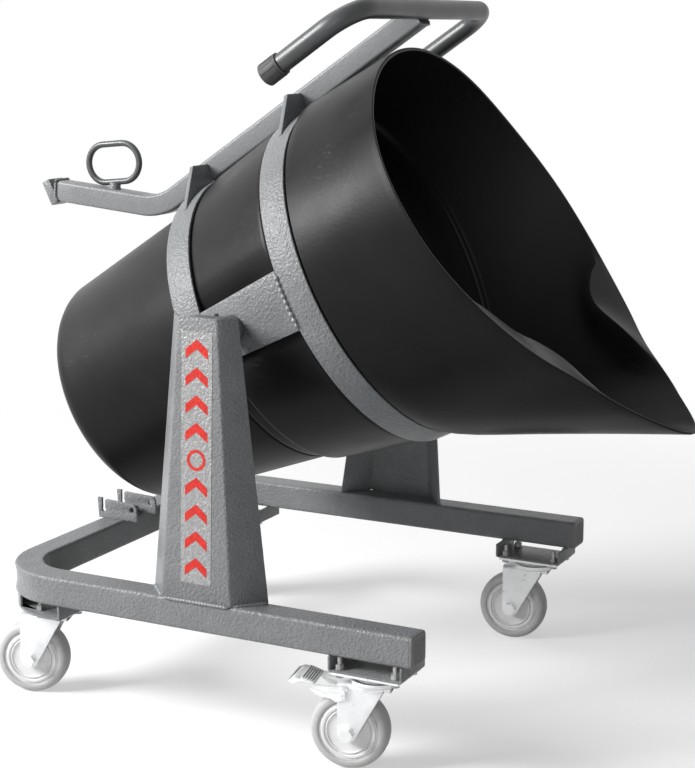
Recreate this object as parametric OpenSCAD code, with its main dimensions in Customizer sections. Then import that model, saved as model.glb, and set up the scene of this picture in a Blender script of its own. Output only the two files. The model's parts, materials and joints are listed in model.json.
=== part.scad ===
// Cement tipping cart. A bent square-tube base on four swivel castors carries
// two folded pillars. A hooped cradle holds a tapered tub with a pouring spout
// and turns on two trunnion shafts at the pillar tops.
// Millimetres. +X is the pouring direction, +Z is up, Z = 0 is the floor.
// The tub stands in the half-tipped rest pose.

/* [Base frame] */
// Width over the two rails
frame_width = 600; // [520:5:700]
// Length of the U-shaped frame
frame_length = 630; // [560:5:760]
// Side of the square tube
tube = 40; // [36:1:46]
// Wall of the square tube
tube_wall = 3; // [2:0.5:4]
// Centre-line radius of the two bent corners
bend_radius = 80; // [65:1:100]
// Distance from the model's origin to the front end of the rails
front_x = 238; // [200:1:280]

// Diameter of the lock pin holes in the two catch plates
lock_d = 8.4; // [8:0.1:9]

/* [Castors] */
// Wheel diameter
wheel_d = 100; // [90:1:110]
// Tread width
wheel_w = 30; // [26:1:34]
// Height from the floor to the top of the castor plate
castor_h = 128; // [124:1:138]
// Length of the castor plate
plate_l = 90; // [88:1:100]
// Width of the castor plate
plate_w = 66; // [64:1:76]
// Thickness of the castor plate
plate_t = 3; // [2.5:0.5:4]
// Offset from the swivel pin to the axle
trail = 32; // [26:1:38]
// Axle bolt diameter
axle_d = 10; // [8:1:12]
// Height of the castor bracket under the rail
bracket_h = 20; // [18:1:26]
// Sheet of the castor bracket
bracket_t = 3; // [2.5:0.5:4]

/* [Pillars] */
// Height of the pillar above the rail
pillar_h = 363; // [330:1:400]
// Width of the outer web at the bottom
web_bottom = 101; // [90:1:115]
// Width of the outer web at the top
web_top = 55; // [52:1:65]
// Depth of the folded flanges at the bottom
fold_bottom = 37; // [34:1:39]
// Depth of the folded flanges at the top
fold_top = 20; // [17:1:24]
// Sheet of the pillar
pillar_t = 3; // [2.5:0.5:4]
// Width of the bare label strip
label_w = 44; // [36:1:46]

/* [Trunnion] */
// Height of the tilt axis above the floor
pivot_z = 526; // [505:1:545]
// Distance of the tilt axis behind the front end of the rails
pivot_back = 287; // [270:1:305]
// Trunnion shaft diameter
shaft_d = 20; // [16:1:24]
// Angle of the tub axis above the horizontal in the rest pose
tub_angle = 26.4; // [20:0.1:35]

/* [Cradle] */
// Outside diameter of the front hoop
hoop_front_d = 468; // [456:1:476]
// Outside diameter of the rear half hoop
hoop_rear_d = 422; // [416:1:430]
// Width of the flat bar of the hoops
hoop_w = 38; // [32:1:44]
// Thickness of the flat bar of the hoops
hoop_t = 4; // [3:0.5:5]
// Position of the front hoop on the tub axis
hoop_front_s = 115; // [105:1:125]
// Position of the rear hoop on the tub axis
hoop_rear_s = -61; // [-70:1:-52]
// Width of the side plates
side_w = 80; // [70:1:90]
// Side of the square tube of the spine
spine = 30; // [26:1:34]
// Wall of the square tube of the spine
spine_wall = 2.5; // [2:0.5:3]
// Bend between the spine and the latch arm
arm_bend = 39.3; // [35:0.1:43]
// Length of the latch arm
arm_l = 179; // [170:1:188]

/* [Handle] */
// Distance between the centres of the two grips
handle_w = 417; // [360:1:430]
// Diameter of the handle tube
handle_d = 25.4; // [22:0.1:28]
// Bend radius of the handle tube
handle_r = 45; // [38:1:55]
// Reach of the grips behind the cross tube
handle_reach = 145; // [120:1:160]
// Diameter of the rod of the pull ring
ring_d = 9; // [8:1:12]

/* [Tub] */
// Radius of the closed end
tub_r = 165; // [155:1:170]
// Distance of the closed end behind the tilt axis
tub_back = 341; // [325:1:346]
// Radius of the rounded edge of the closed end
tub_round = 32; // [25:1:45]
// Wall thickness
tub_wall = 4.5; // [4:0.5:6]
// How far the two folds beside the spout stand inward
fold_in = 46; // [30:1:50]

/* [Hidden] */
$fn = 96;
eps = 0.01;
rail_z = castor_h + bracket_h;
rail_top = rail_z + tube;
rail_y = (frame_width - tube) / 2;
back_x = front_x - frame_length;
bend_x = back_x + tube / 2 + bend_radius;
bend_y = rail_y - bend_radius;
pivot_x = front_x - pivot_back;
pillar_back = 296.5;
pillar_x = front_x - pillar_back;
pillar_lean = pivot_x - pillar_x;
web_y = frame_width / 2;
// castors: swivel pin, yaw and name index
bracket_l = plate_l + 10;
bracket_w = plate_w + 1;
pin_front_x = front_x - 58.5;
pin_front_y = rail_y - 12.5;
pin_rear_x = bend_x - 35.5;
pin_rear_y = bend_y + 32;
plate_turn = 45;
yaw_fn = 12;
yaw_ff = 7;
yaw_rn = 18;
yaw_rf = 12;
hole_l = plate_l - 15;
hole_w = plate_w - 16;
bolt_r = 3;
race_r = 28;
crown_z = castor_h - 16;
leg_in = wheel_w / 2 + 4;
leg_t = 3;
axle_z = wheel_d / 2;
tyre_in = wheel_d / 2 - 12.5;
rivet_x = -trail - 6;
rivet_z = castor_h - 24;
fit = 0.05;
seat = 0.2;
// cradle
r_front = hoop_front_d / 2;
r_rear = hoop_rear_d / 2;
fs0 = hoop_front_s - hoop_w / 2;
fs1 = hoop_front_s + hoop_w / 2;
rs0 = hoop_rear_s - hoop_w / 2;
rs1 = hoop_rear_s + hoop_w / 2;
spine_a = atan((r_front - r_rear) / (fs0 - rs0));
side_a = asin(side_w / 2 / r_front);
side_k = (r_front - r_rear) / (fs0 - rs1);
r_side = r_rear - side_k * rs1;
// tub profile: inside the two hoops with a rubber liner between
tub_front = r_front - hoop_t - 3;
tub_rear = r_rear - hoop_t - 9;
mid_s = 20;
groove_s = hoop_rear_s;
// handle plane: the cross tube lies on the spine's centre line
cross_s = 326;
spine_end = (cross_s - fs0) / cos(spine_a) - handle_d / 2 - seat;
bend_at = -256;
spine_bend_r = 85;
bend_cut = spine_bend_r * tan(arm_bend / 2);
// the arm's foot lands on the rest pad when the tub axis is upright
foot_t = 14;
foot_h = 36;
foot_up = 1;
arm_end_s = fs0 - (spine / 2 + seat) * sin(spine_a) + bend_at * cos(spine_a)
  - arm_l * cos(arm_bend - spine_a);
pad_top = pivot_z + arm_end_s - foot_t - 0.3;
catch_x0 = back_x - 4;
catch_l = 66;
lock_z = 17;
// trunnion
block_w = 48;
block_h = 46;
block_gap = 33;
block_in = web_y - block_gap;
hub_r = 18;
hub_end = block_in - 0.3;
head_r = 15;
head_t = 2.6;
head_y = r_side - hoop_t - side_k * (head_r + 1) - 0.4;
// the cross pin sits past the middle of the hub
pin_y = r_side + 0.534 * (hub_end - r_side);
// the tub stays clear of the shaft's head
tub_mid = tub_rear + (head_y - head_t - 1.3 - tub_rear) * (mid_s - groove_s) / (head_r + 1 - groove_s);

grey = [0.42, 0.43, 0.44];
dark = [0.22, 0.23, 0.24];
black = [0.05, 0.05, 0.055];
zinc = [0.78, 0.78, 0.76];

// Helpers

// corner points of a square with rounded corners
function soft_square(a, r, n = 4) = [for (q = [0:3]) for (i = [0:n])
  let (t = q * 90 + 90 * i / n,
    cx = (q == 0 || q == 3 ? 1 : -1) * (a / 2 - r),
    cy = (q < 2 ? 1 : -1) * (a / 2 - r))
  [cx + r * cos(t), cy + r * sin(t)]];

module tube_section(a, w) {
  difference() {
    polygon(soft_square(a, 4.5));
    polygon(soft_square(a - 2 * w, 2));
  }
}

// mirrors to the far side when side is 1, near side is -1
module at_side(side) {
  if (side > 0) mirror([0, 1, 0]) children();
  else children();
}

// the cradle's frame: x along the tub axis, z towards the spine
module in_cradle() {
  translate([pivot_x, 0, pivot_z]) rotate([0, -tub_angle, 0]) children();
}

// turns a solid of revolution about z into one about the tub axis
module about_axis() {
  rotate([0, 90, 0]) children();
}

module hex(af, h) {
  cylinder(r = af / sqrt(3), h = h, $fn = 6);
}

// Base

module base_tube() {
  lap = 0.02;
  color(grey) {
    for (s = [-1, 1])
      translate([bend_x, s * rail_y, rail_z + tube / 2]) rotate([0, 90, 0])
        linear_extrude(front_x - bend_x) tube_section(tube, tube_wall);
    translate([back_x + tube / 2, bend_y, rail_z + tube / 2]) rotate([90, 0, 0])
      linear_extrude(2 * bend_y) tube_section(tube, tube_wall);
    for (s = [-1, 1])
      translate([bend_x, s * bend_y, rail_z + tube / 2])
        rotate([0, 0, s < 0 ? 180 - lap : 90 - lap])
          rotate_extrude(angle = 90 + 2 * lap) translate([bend_radius, 0]) tube_section(tube, tube_wall);
  }
}

module plug(side) {
  inner = tube - 2 * tube_wall - 0.4;
  color(dark) translate([front_x, side * rail_y, rail_z + tube / 2]) rotate([0, 90, 0]) {
    linear_extrude(3.2) polygon(soft_square(tube - 0.6, 4.5));
    translate([0, 0, 3.2 - eps]) linear_extrude(1.6 + eps) polygon(soft_square(tube - 3.6, 4.5));
    translate([0, 0, -18]) linear_extrude(18 + eps) difference() {
      polygon(soft_square(inner, 2));
      polygon(soft_square(inner - 5, 2));
    }
    for (a = [45, 135])
      translate([0, 0, 4.8 - eps]) rotate([0, 0, a])
        translate([-15, -1.2, 0]) cube([30, 2.4, 0.6]);
  }
}

// one channel section of the pillar, counted from the rail up
function pillar_ring(z, half, cx, e, d) = let (t = pillar_t, k = t * 0.42)
  [[cx - half, -web_y, z], [cx + half, -web_y, z],
   [cx + half + e, -web_y + d, z], [cx + half + e - t * 1.1, -web_y + d + t * 0.35, z],
   [cx + half - k, -web_y + t, z], [cx - half + k, -web_y + t, z],
   [cx - half - e + t * 1.1, -web_y + d + t * 0.35, z], [cx - half - e, -web_y + d, z]];

module pillar(side) {
  low = pillar_ring(rail_top, web_bottom / 2, pillar_x, fold_bottom * 0.93, fold_bottom);
  top = pillar_ring(rail_top + pillar_h, web_top / 2, pivot_x, fold_top * 0.93, fold_top);
  n = len(low);
  color(grey) at_side(side)
    polyhedron(points = concat(low, top), faces = concat(
      [[0, 1, 4, 5], [1, 2, 3, 4], [5, 6, 7, 0]],
      [[n + 5, n + 4, n + 1, n], [n + 4, n + 3, n + 2, n + 1], [n, n + 7, n + 6, n + 5]],
      [for (i = [0:n - 1]) let (j = (i + 1) % n) [i, n + i, n + j, j]]), convexity = 4);
}

module front_bracket(side) {
  x0 = pin_front_x - bracket_l / 2;
  color(grey) at_side(side) difference() {
    translate([x0, -pin_front_y - bracket_w / 2, castor_h]) difference() {
      cube([bracket_l, bracket_w, bracket_h]);
      translate([bracket_t, -1, bracket_t]) cube([bracket_l - 2 * bracket_t, bracket_w + 2, bracket_h]);
    }
    for (i = [-1, 1], j = [-1, 1])
      translate([pin_front_x + i * hole_l / 2, -pin_front_y + j * hole_w / 2, castor_h - 1])
        cylinder(r = bolt_r + 0.3, h = bracket_t + 2, $fn = 32);
  }
}

module rear_bracket(side) {
  x1 = bend_x + 19;
  ro = bend_radius + tube / 2 - 3;
  step = 0.05;
  up = bracket_t / 2;
  color(grey) at_side(side) difference() {
    union() {
      translate([bend_x, -bend_y, castor_h]) intersection() {
        cylinder(r = ro, h = bracket_t);
        translate([-200, -200, -1]) cube([200 + 2 * step, 200 + 2 * step, bracket_t + 2]);
      }
      translate([bend_x - 1, -bend_y - ro + step, castor_h]) cube([20, ro + 24 - step, bracket_t]);
      translate([bend_x - ro + step, -bend_y - 1, castor_h]) cube([ro + 10 - step, 25, bracket_t]);
      translate([bend_x, -bend_y, castor_h + up]) rotate([0, 0, 180]) rotate_extrude(angle = 52)
        translate([ro - bracket_t - step, 0]) square([bracket_t, bracket_h - up]);
      translate([bend_x - ro + 2 * step, -bend_y - 1, castor_h + up])
        cube([bracket_t, 25, bracket_h - up]);
      translate([x1 - bracket_t, -bend_y - ro + step, castor_h]) cube([bracket_t, ro + 24 - step, bracket_h]);
    }
    translate([pin_rear_x, -pin_rear_y, castor_h - 1]) rotate([0, 0, -plate_turn])
      for (i = [-1, 1], j = [-1, 1])
        translate([i * hole_l / 2, j * hole_w / 2, 0]) cylinder(r = bolt_r + 0.3, h = bracket_t + 2, $fn = 32);
  }
}

module catch_plate(side) {
  t = 4;
  color(grey) translate([0, side * 25 + t / 2, rail_top]) rotate([90, 0, 0]) linear_extrude(t)
    difference() {
      polygon(concat(
        [[catch_x0, 0], [catch_x0 + catch_l, 0]],
        [for (a = [0:15:90]) [catch_x0 + catch_l - 9 + 9 * cos(a), 17 + 9 * sin(a)]],
        [[catch_x0 + 13, 28], [catch_x0 + 11, 26], [catch_x0 + 11, 30], [catch_x0 - 2, 30]]));
      translate([catch_x0 + 5.5, 13]) square([5.5, 20]);
      translate([catch_x0 + 8.6, 12.5]) circle(r = 3.6, $fn = 32);
      translate([catch_x0 + catch_l - 8.6, lock_z]) circle(r = lock_d / 2, $fn = 48);
    }
}

module rest_pad() {
  color(black) translate([back_x + 2, -16, rail_top]) cube([tube - 4, 32, pad_top - rail_top]);
}

module block(side) {
  color(grey) at_side(side) difference() {
    translate([pivot_x - block_w / 2, -web_y + pillar_t, pivot_z - block_h / 2])
      cube([block_w, web_y - pillar_t - block_in, block_h]);
    translate([pivot_x, -web_y + pillar_t - 1, pivot_z]) rotate([-90, 0, 0])
      cylinder(r = shaft_d / 2 + fit, h = web_y - block_in + 2);
  }
}

module label(side) {
  z0 = 24;
  z1 = pillar_h - 17;
  function mid(z) = pillar_x + pillar_lean * z / pillar_h;
  color([0.72, 0.73, 0.73]) at_side(side) translate([0, -web_y, rail_top]) rotate([90, 0, 0])
    linear_extrude(0.4) polygon([
      [mid(z0) - label_w / 2, z0], [mid(z0) + label_w / 2, z0],
      [mid(z1) + label_w / 2, z1], [mid(z1) - label_w / 2, z1]]);
}

// Castors: fixed top plate with its race and swivel pin

module castor_plate(x, y, turn) {
  color(zinc) translate([x, y, 0]) rotate([0, 0, turn]) difference() {
    union() {
      translate([-plate_l / 2, -plate_w / 2, castor_h - plate_t]) cube([plate_l, plate_w, plate_t]);
      translate([0, 0, castor_h - plate_t - 6]) cylinder(r1 = race_r - 1.5, r2 = race_r + 1, h = 6 + eps);
      translate([0, 0, crown_z - 6]) cylinder(r = 6, h = castor_h - crown_z + 5);
      translate([0, 0, crown_z - 6.5]) cylinder(r = 10, h = 3);
    }
    for (i = [-1, 1], j = [-1, 1])
      translate([i * hole_l / 2, j * hole_w / 2, castor_h - plate_t - 1]) cylinder(r = bolt_r + 0.3, h = plate_t + 2, $fn = 32);
  }
}

module castor_bolts(x, y, turn) {
  color(zinc) translate([x, y, 0]) rotate([0, 0, turn]) for (i = [-1, 1], j = [-1, 1])
    translate([i * hole_l / 2, j * hole_w / 2, castor_h]) {
      translate([0, 0, -plate_t - 4.2]) hex(10, 4.2);
      translate([0, 0, -plate_t - 4]) cylinder(r = bolt_r, h = plate_t + 4 + bracket_h - 1, $fn = 32);
      translate([0, 0, bracket_t]) cylinder(r = 6, h = 1.2);
      translate([0, 0, bracket_t + 1.2]) hex(10, 5.5);
    }
}

// swivelling parts are drawn about the pin and turned by the yaw
module on_pin(x, y, yaw) {
  translate([x, y, 0]) rotate([0, 0, yaw]) children();
}

module fork(x, y, yaw) {
  color(zinc) on_pin(x, y, yaw) {
    difference() {
      union() {
        translate([0, 0, crown_z]) cylinder(r = race_r + 4, h = 7);
        translate([-trail - 12.5, -leg_in - leg_t, crown_z]) cube([trail + 12.5, 2 * (leg_in + leg_t), 2.6]);
      }
      translate([0, 0, crown_z + 3]) cylinder(r = race_r + 1.2, h = 8);
      translate([0, 0, crown_z - 1]) cylinder(r = 6 + fit, h = 8);
    }
    for (s = [-1, 1])
      translate([0, s * (leg_in + leg_t / 2) + leg_t / 2, 0]) rotate([90, 0, 0]) linear_extrude(leg_t)
        difference() {
          union() {
            polygon([[-trail - 12, axle_z], [-trail - 12.5, crown_z + 1.5], [race_r - 4, crown_z + 1.5],
              [race_r - 13, crown_z - 6], [-trail + 11, axle_z - 5]]);
            translate([-trail, axle_z]) circle(r = 12.1, $fn = 64);
          }
          translate([-trail, axle_z]) circle(r = axle_d / 2 + 0.1, $fn = 64);
          translate([rivet_x, rivet_z]) circle(r = 3.1, $fn = 48);
        }
  }
}

module axle(x, y, yaw) {
  out = leg_in + leg_t;
  color(zinc) on_pin(x, y, yaw) translate([-trail, 0, axle_z]) rotate([90, 0, 0]) {
    translate([0, 0, -out - 10]) cylinder(r = axle_d / 2, h = 2 * out + 11);
    translate([0, 0, out]) cylinder(r = axle_d / 2 + 4.5, h = 1.4);
    translate([0, 0, out + 1.4]) hex(axle_d * 1.6, 6);
    translate([0, 0, -out - 1.4]) cylinder(r = axle_d / 2 + 4.5, h = 1.4);
    translate([0, 0, -out - 9]) hex(axle_d * 1.6, 7.6);
  }
}

module tyre(x, y, yaw) {
  r = wheel_d / 2;
  w = wheel_w / 2;
  color([0.2, 0.2, 0.21]) on_pin(x, y, yaw) translate([-trail, 0, axle_z]) rotate([90, 0, 0])
    rotate_extrude() polygon([[tyre_in, -w + 1], [tyre_in + 3, -w], [r - 5, -w + 0.6],
      [r - 2.4, -w + 2.2], [r - 0.7, -w + 5], [r, -w + 9], [r, w - 9], [r - 0.7, w - 5],
      [r - 2.4, w - 2.2], [r - 5, w - 0.6], [tyre_in + 3, w], [tyre_in, w - 1]]);
}

module wheel_hub(x, y, yaw) {
  w = wheel_w / 2;
  h = leg_in - 0.4;
  a = tyre_in - seat;
  b = axle_d / 2 + fit;
  color([0.62, 0.62, 0.62]) on_pin(x, y, yaw) translate([-trail, 0, axle_z]) rotate([90, 0, 0])
    rotate_extrude() polygon([[b, -h], [9, -h], [10, -w + 1.5], [26, -w + 1.5], [27, -w + 0.2],
      [a - 5, -w + 0.2], [a - 4.4, -w + 2.4], [a - 2.6, -w + 2.4], [a - 2, -w + 0.6], [a, -w + 0.8],
      [a, w - 0.8], [a - 2, w - 0.6], [a - 2.6, w - 2.4], [a - 4.4, w - 2.4], [a - 5, w - 0.2],
      [27, w - 0.2], [26, w - 1.5], [10, w - 1.5], [9, h], [b, h]]);
}

// foot pedal that turns on a rivet through the fork's cheeks
module brake_pedal(x, y, yaw) {
  in_y = leg_in + leg_t + 0.3;
  t = 2;
  px = rivet_x;
  pz = rivet_z;
  function side_line() = [[px - 7, pz - 13], [px + 5, pz - 9], [px + 8, pz + 3], [px + 6, pz + 9],
    [px - 36, pz + 7], [px - 51, pz + 12], [px - 60, pz + 13], [px - 68, pz + 9], [px - 63, pz + 5],
    [px - 51, pz + 8], [px - 44, pz + 4], [px - 37, pz - 2], [px - 28, pz - 8], [px - 14, pz - 9]];
  color(zinc) on_pin(x, y, yaw) {
    for (s = [-1, 1])
      translate([0, s * (in_y + t / 2) + t / 2, 0]) rotate([90, 0, 0]) linear_extrude(t) polygon(side_line());
    translate([0, in_y + eps, 0]) rotate([90, 0, 0]) linear_extrude(2 * (in_y + eps)) polygon(concat(
      [[px - 36, pz + 7]],
      [for (i = [0:4]) for (c = [[0, 0], [0.6, 1.4], [1.6, 1.4], [2.2, 0]])
        [px - 37 - 2.8 * i - c[0], pz + 7.4 + 0.95 * i + c[1] + c[0] * 0.34]],
      [[px - 51, pz + 12], [px - 60, pz + 13], [px - 68, pz + 9], [px - 66, pz + 7.4],
      [px - 59.6, pz + 11], [px - 51.4, pz + 10], [px - 37, pz + 5]]));
    translate([px, in_y + t + 1.6, pz]) rotate([90, 0, 0]) difference() {
      union() {
        cylinder(r = 3, h = 2 * (in_y + t + 1.6));
        cylinder(r = 5, h = 1.6);
        translate([0, 0, 2 * (in_y + t) + 1.6]) cylinder(r = 5, h = 1.6);
      }
      translate([0, 0, -1]) cylinder(r = 1.2, h = 100, $fn = 24);
    }
  }
}

// Cradle

module front_hoop() {
  color(grey) in_cradle() about_axis() translate([0, 0, fs0]) difference() {
    cylinder(r = r_front, h = hoop_w, $fn = 180);
    translate([0, 0, -1]) cylinder(r = r_front - hoop_t, h = hoop_w + 2, $fn = 180);
    translate([0, 0, hoop_w / 2]) rotate([0, -90, 0]) cylinder(r = 4.3, h = r_front + 10, $fn = 32);
  }
}

module rear_hoop() {
  color(grey) in_cradle() about_axis() translate([0, 0, rs0]) difference() {
    rotate([0, 0, 90 - side_a]) rotate_extrude(angle = 180 + 2 * side_a, $fn = 180)
      translate([r_rear - hoop_t, 0]) square([hoop_t, hoop_w]);
    translate([0, 0, hoop_w / 2]) rotate([0, -90, 0]) cylinder(r = 4.3, h = r_rear + 10, $fn = 32);
  }
}

// rolled sheet between the hoops, side -1 near, 1 far
module side_plate(side) {
  color(grey) in_cradle() difference() {
    about_axis() rotate([0, 0, side * 90 - side_a])
      rotate_extrude(angle = 2 * side_a, $fn = 180)
        polygon([[r_rear - hoop_t, rs1], [r_rear, rs1], [r_front, fs0], [r_front - hoop_t, fs0]]);
    rotate([side * -90, 0, 0]) cylinder(r = shaft_d / 2 + 0.3, h = 2 * r_front);
  }
}

// the spine's frame: origin where its underside meets the rear edge of the front hoop
module on_spine() {
  in_cradle() translate([fs0, 0, r_front]) rotate([0, -spine_a, 0])
    translate([0, 0, spine / 2 + seat]) children();
}

module spine_arm() {
  lap = 1;
  color(grey) difference() {
    on_spine() difference() {
      union() {
        translate([bend_at + bend_cut, 0, 0]) rotate([0, 90, 0])
          linear_extrude(spine_end - bend_at - bend_cut) tube_section(spine, spine_wall);
        translate([bend_at + bend_cut, 0, spine_bend_r]) rotate([90, 0, 0]) rotate([0, 0, -90 - arm_bend - lap])
          rotate_extrude(angle = arm_bend + 2 * lap) translate([spine_bend_r, 0]) tube_section(spine, spine_wall);
        translate([bend_at, 0, 0]) rotate([0, arm_bend, 0]) translate([-arm_l - 30, 0, 0]) rotate([0, 90, 0])
          linear_extrude(arm_l + 30 - bend_cut) tube_section(spine, spine_wall);
      }
      // the arm's end is cut square to the tub axis
      translate([bend_at, 0, 0]) rotate([0, arm_bend, 0]) translate([-arm_l, 0, 0])
        rotate([0, spine_a - arm_bend, 0]) translate([-100, -50, -50]) cube([100, 100, 100]);
    }
    in_cradle() for (s = [hoop_front_s, hoop_rear_s]) translate([s, 0, r_rear - 10])
      cylinder(r = 4.3, h = spine_low(s) + 9 - r_rear + 10, $fn = 32);
  }
}

module arm_foot() {
  color(grey) on_spine() translate([bend_at, 0, 0]) rotate([0, arm_bend, 0]) translate([-arm_l, 0, 0])
    rotate([0, spine_a - arm_bend, 0]) translate([-foot_t, -spine / 2 - 2, foot_up - foot_h / 2])
      cube([foot_t - seat, spine + 4, foot_h]);
}

// triangular gussets between the spine's sides and a hoop
module lugs() {
  lug_pair(hoop_front_s, r_front);
  lug_pair(hoop_rear_s, r_rear);
}

module lug_pair(s, r) {
  rise = (s - fs0) * tan(spine_a) + r_front + spine / 2 + 9;
  half = spine / 2 + seat;
  top = 41;
  foot = 112;
  color(grey) in_cradle() for (m = [0, 1]) mirror([0, m, 0])
    translate([s + 3, 0, 0]) rotate([90, 0, -90]) linear_extrude(6) difference() {
      polygon([[half, rise], [half + top - 4, rise], [half + top, rise - 4],
        [foot, sqrt(pow(r, 2) - pow(foot, 2)) + seat + 1],
        [foot, sqrt(pow(r, 2) - pow(foot, 2)) - 4], [half, r - 10]]);
      circle(r = r + seat, $fn = 240);
    }
}

module handle_tube() {
  a = handle_w / 2;
  r = handle_d / 2;
  module leg(l) { difference() { cylinder(r = r, h = l); translate([0, 0, -1]) cylinder(r = r - 2, h = l + 2); } }
  color(dark) on_spine() translate([spine_end + handle_d / 2 + seat, 0, 0]) {
    translate([0, a - handle_r, 0]) rotate([90, 0, 0]) leg(2 * (a - handle_r));
    for (s = [-1, 1]) {
      translate([-handle_r, s * (a - handle_r), 0]) rotate([0, 0, s > 0 ? 0 : -90])
        rotate_extrude(angle = 90) translate([handle_r, 0]) difference() {
          circle(r = r);
          circle(r = r - 2);
        }
      translate([-handle_r, s * a, 0]) rotate([0, -90, 0]) leg(handle_reach - handle_r - 6);
    }
  }
}

module handle_cap(side) {
  r = handle_d / 2 + seat;
  color(dark) on_spine() translate([spine_end + handle_d / 2 + seat - handle_reach, side * handle_w / 2, 0])
    rotate([0, 90, 0]) {
      difference() {
        union() {
          translate([0, 0, 1.5]) cylinder(r = r + 2, h = 26.5);
          cylinder(r1 = r + 0.2, r2 = r + 2, h = 1.5 + eps);
          for (i = [0:11]) rotate([0, 0, 30 * i]) translate([r + 1.4, -1.3, 3]) cube([1.1, 2.6, 21]);
        }
        translate([0, 0, 5.8]) cylinder(r = r, h = 30);
      }
    }
}

// oval ring of round bar on a short stub on top of the latch arm
module pull_ring() {
  w = 95;
  h = 63;
  rc = (h - ring_d) / 2;
  flat = w - h;
  color(grey) on_spine() translate([bend_at, 0, 0]) rotate([0, arm_bend, 0])
    translate([-arm_l + 90, 0, spine / 2 + seat]) {
      translate([4, 0, 0]) cylinder(r = 8, h = 9);
      translate([0, 0, h / 2 + 4.6]) rotate([0, -11, 0]) rotate([90, 0, 0]) {
        for (m = [0, 1]) mirror([m, 0, 0]) translate([flat / 2, 0, 0]) rotate([0, 0, -90])
          rotate_extrude(angle = 180) translate([rc, 0]) circle(r = ring_d / 2, $fn = 48);
        for (m = [-1, 1]) translate([-flat / 2 - eps, m * rc, 0]) rotate([0, 90, 0])
          cylinder(r = ring_d / 2, h = flat + 2 * eps, $fn = 48);
      }
    }
}

// Tub: a shell whose outline runs from the round closed end to the drawn spout.
// Angles are counted from the spine, 180 is the spout.
rim_at = [0, 30, 60, 90, 115, 135, 150, 165, 180];
rim_s = [283, 282, 284, 303, 325, 348, 366, 398, 425];
rim_r = [246.5, 248, 247, 249, 245, 256, 266, 308, 344];

function hermite(a, b, ma, mb, t) = a * (2 * pow(t, 3) - 3 * pow(t, 2) + 1)
  + ma * (pow(t, 3) - 2 * pow(t, 2) + t) + b * (3 * pow(t, 2) - 2 * pow(t, 3)) + mb * (pow(t, 3) - pow(t, 2));
function slope_at(xs, ys, i) = (i == 0 || i == len(xs) - 1) ? 0
  : (ys[i + 1] - ys[i - 1]) / (xs[i + 1] - xs[i - 1]);
function find(xs, x, i = 0) = (i >= len(xs) - 2 || x < xs[i + 1]) ? i : find(xs, x, i + 1);
function table(xs, ys, x) = let (i = find(xs, x), w = xs[i + 1] - xs[i])
  hermite(ys[i], ys[i + 1], slope_at(xs, ys, i) * w, slope_at(xs, ys, i + 1) * w, (x - xs[i]) / w);
function fold_angle(p) = let (q = (p % 360 + 360) % 360) q > 180 ? 360 - q : q;
function smooth(t) = let (c = max(0, min(1, t))) c * c * (3 - 2 * c);

function rim_pos(p) = table(rim_at, rim_s, fold_angle(p));
rim_top = spine_low(rim_s[0]) - 12.14;
function rim_rad(p) = table(rim_at, rim_r, fold_angle(p)) * rim_top / rim_r[0];
// outer radius at station s and angle p
function body_r(s, p) = s < groove_s
    ? tub_r + (tub_rear - tub_r) * (s + tub_back) / (groove_s + tub_back)
    : s < mid_s ? tub_rear + (tub_mid - tub_rear) * (s - groove_s) / (mid_s - groove_s)
    : s < fs0 ? tub_mid + (tub_front - 1 - tub_mid) * (s - mid_s) / (fs0 - mid_s)
    : s < fs1 ? tub_front - 1 + (s - fs0) / hoop_w
    : tub_front + (rim_rad(p) - tub_front) * (s - fs1) / (rim_pos(p) - fs1);
// The folds beside the spout, on the inside only. A shelf runs inward and down
// from the rim to a crest, and the wall returns behind it. The first row is the
// angle, then the crest's inward share of fold_in and its depth below the rim.
fold_at = [108, 114, 120, 126, 132, 138, 144, 150, 156, 159];
fold_share = [0, 0.16, 0.56, 0.82, 0.96, 1, 0.94, 0.67, 0.17, 0];
fold_deep = [0, 3.3, 12.9, 20.4, 26.3, 28, 23, 13.5, 4.9, 0];
fold_back = 44;
function in_fold(p) = max(fold_at[0], min(fold_at[len(fold_at) - 1], fold_angle(p)));
function crest_in(p) = fold_in * table(fold_at, fold_share, in_fold(p));
function crest_low(p) = max(5, table(fold_at, fold_deep, in_fold(p)));
// how far the wall stands inward, t mm below the rim
function fold(t, p) = let (c = crest_low(p))
  crest_in(p) * (t < c ? t / c : 1 - smooth((t - c) / fold_back));

tub_n = 72;
edge_n = 5;
// stations along the body as shares: up to the front hoop, then to the rim
low_s = concat(
  [[-220, 0], [-130, 0]],
  [[groove_s - 2, 0], [groove_s - 1, 2.4], [groove_s + 1, 2.4], [groove_s + 2, 0]],
  [[mid_s, 0], [fs0, 0], [fs1, 0]]);
high_t = [0.35, 0.7];

function polar(s, r, p) = [s, r * sin(p), r * cos(p)];
function outer_ring(k) = k <= edge_n
  ? let (a = 90 * k / edge_n) [for (i = [0:tub_n - 1]) polar(-tub_back + tub_round * (1 - cos(a)),
      tub_r - tub_round + tub_round * sin(a) + (body_r(-tub_back + tub_round, 0) - tub_r) * sin(a), 360 * i / tub_n)]
  : k <= edge_n + len(low_s)
  ? let (e = low_s[k - edge_n - 1]) [for (i = [0:tub_n - 1]) polar(e[0], body_r(e[0], 0) - e[1], 360 * i / tub_n)]
  : let (u = k - edge_n - len(low_s) - 1) [for (i = [0:tub_n - 1]) let (p = 360 * i / tub_n,
      t = u < len(high_t) ? high_t[u] : 1, s = fs1 + (rim_pos(p) - fs1) * t) polar(s, body_r(s, p), p)];
outer_k = edge_n + len(low_s) + len(high_t) + 1;

inner_s = [-200, groove_s, mid_s, fs0, fs1];
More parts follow.
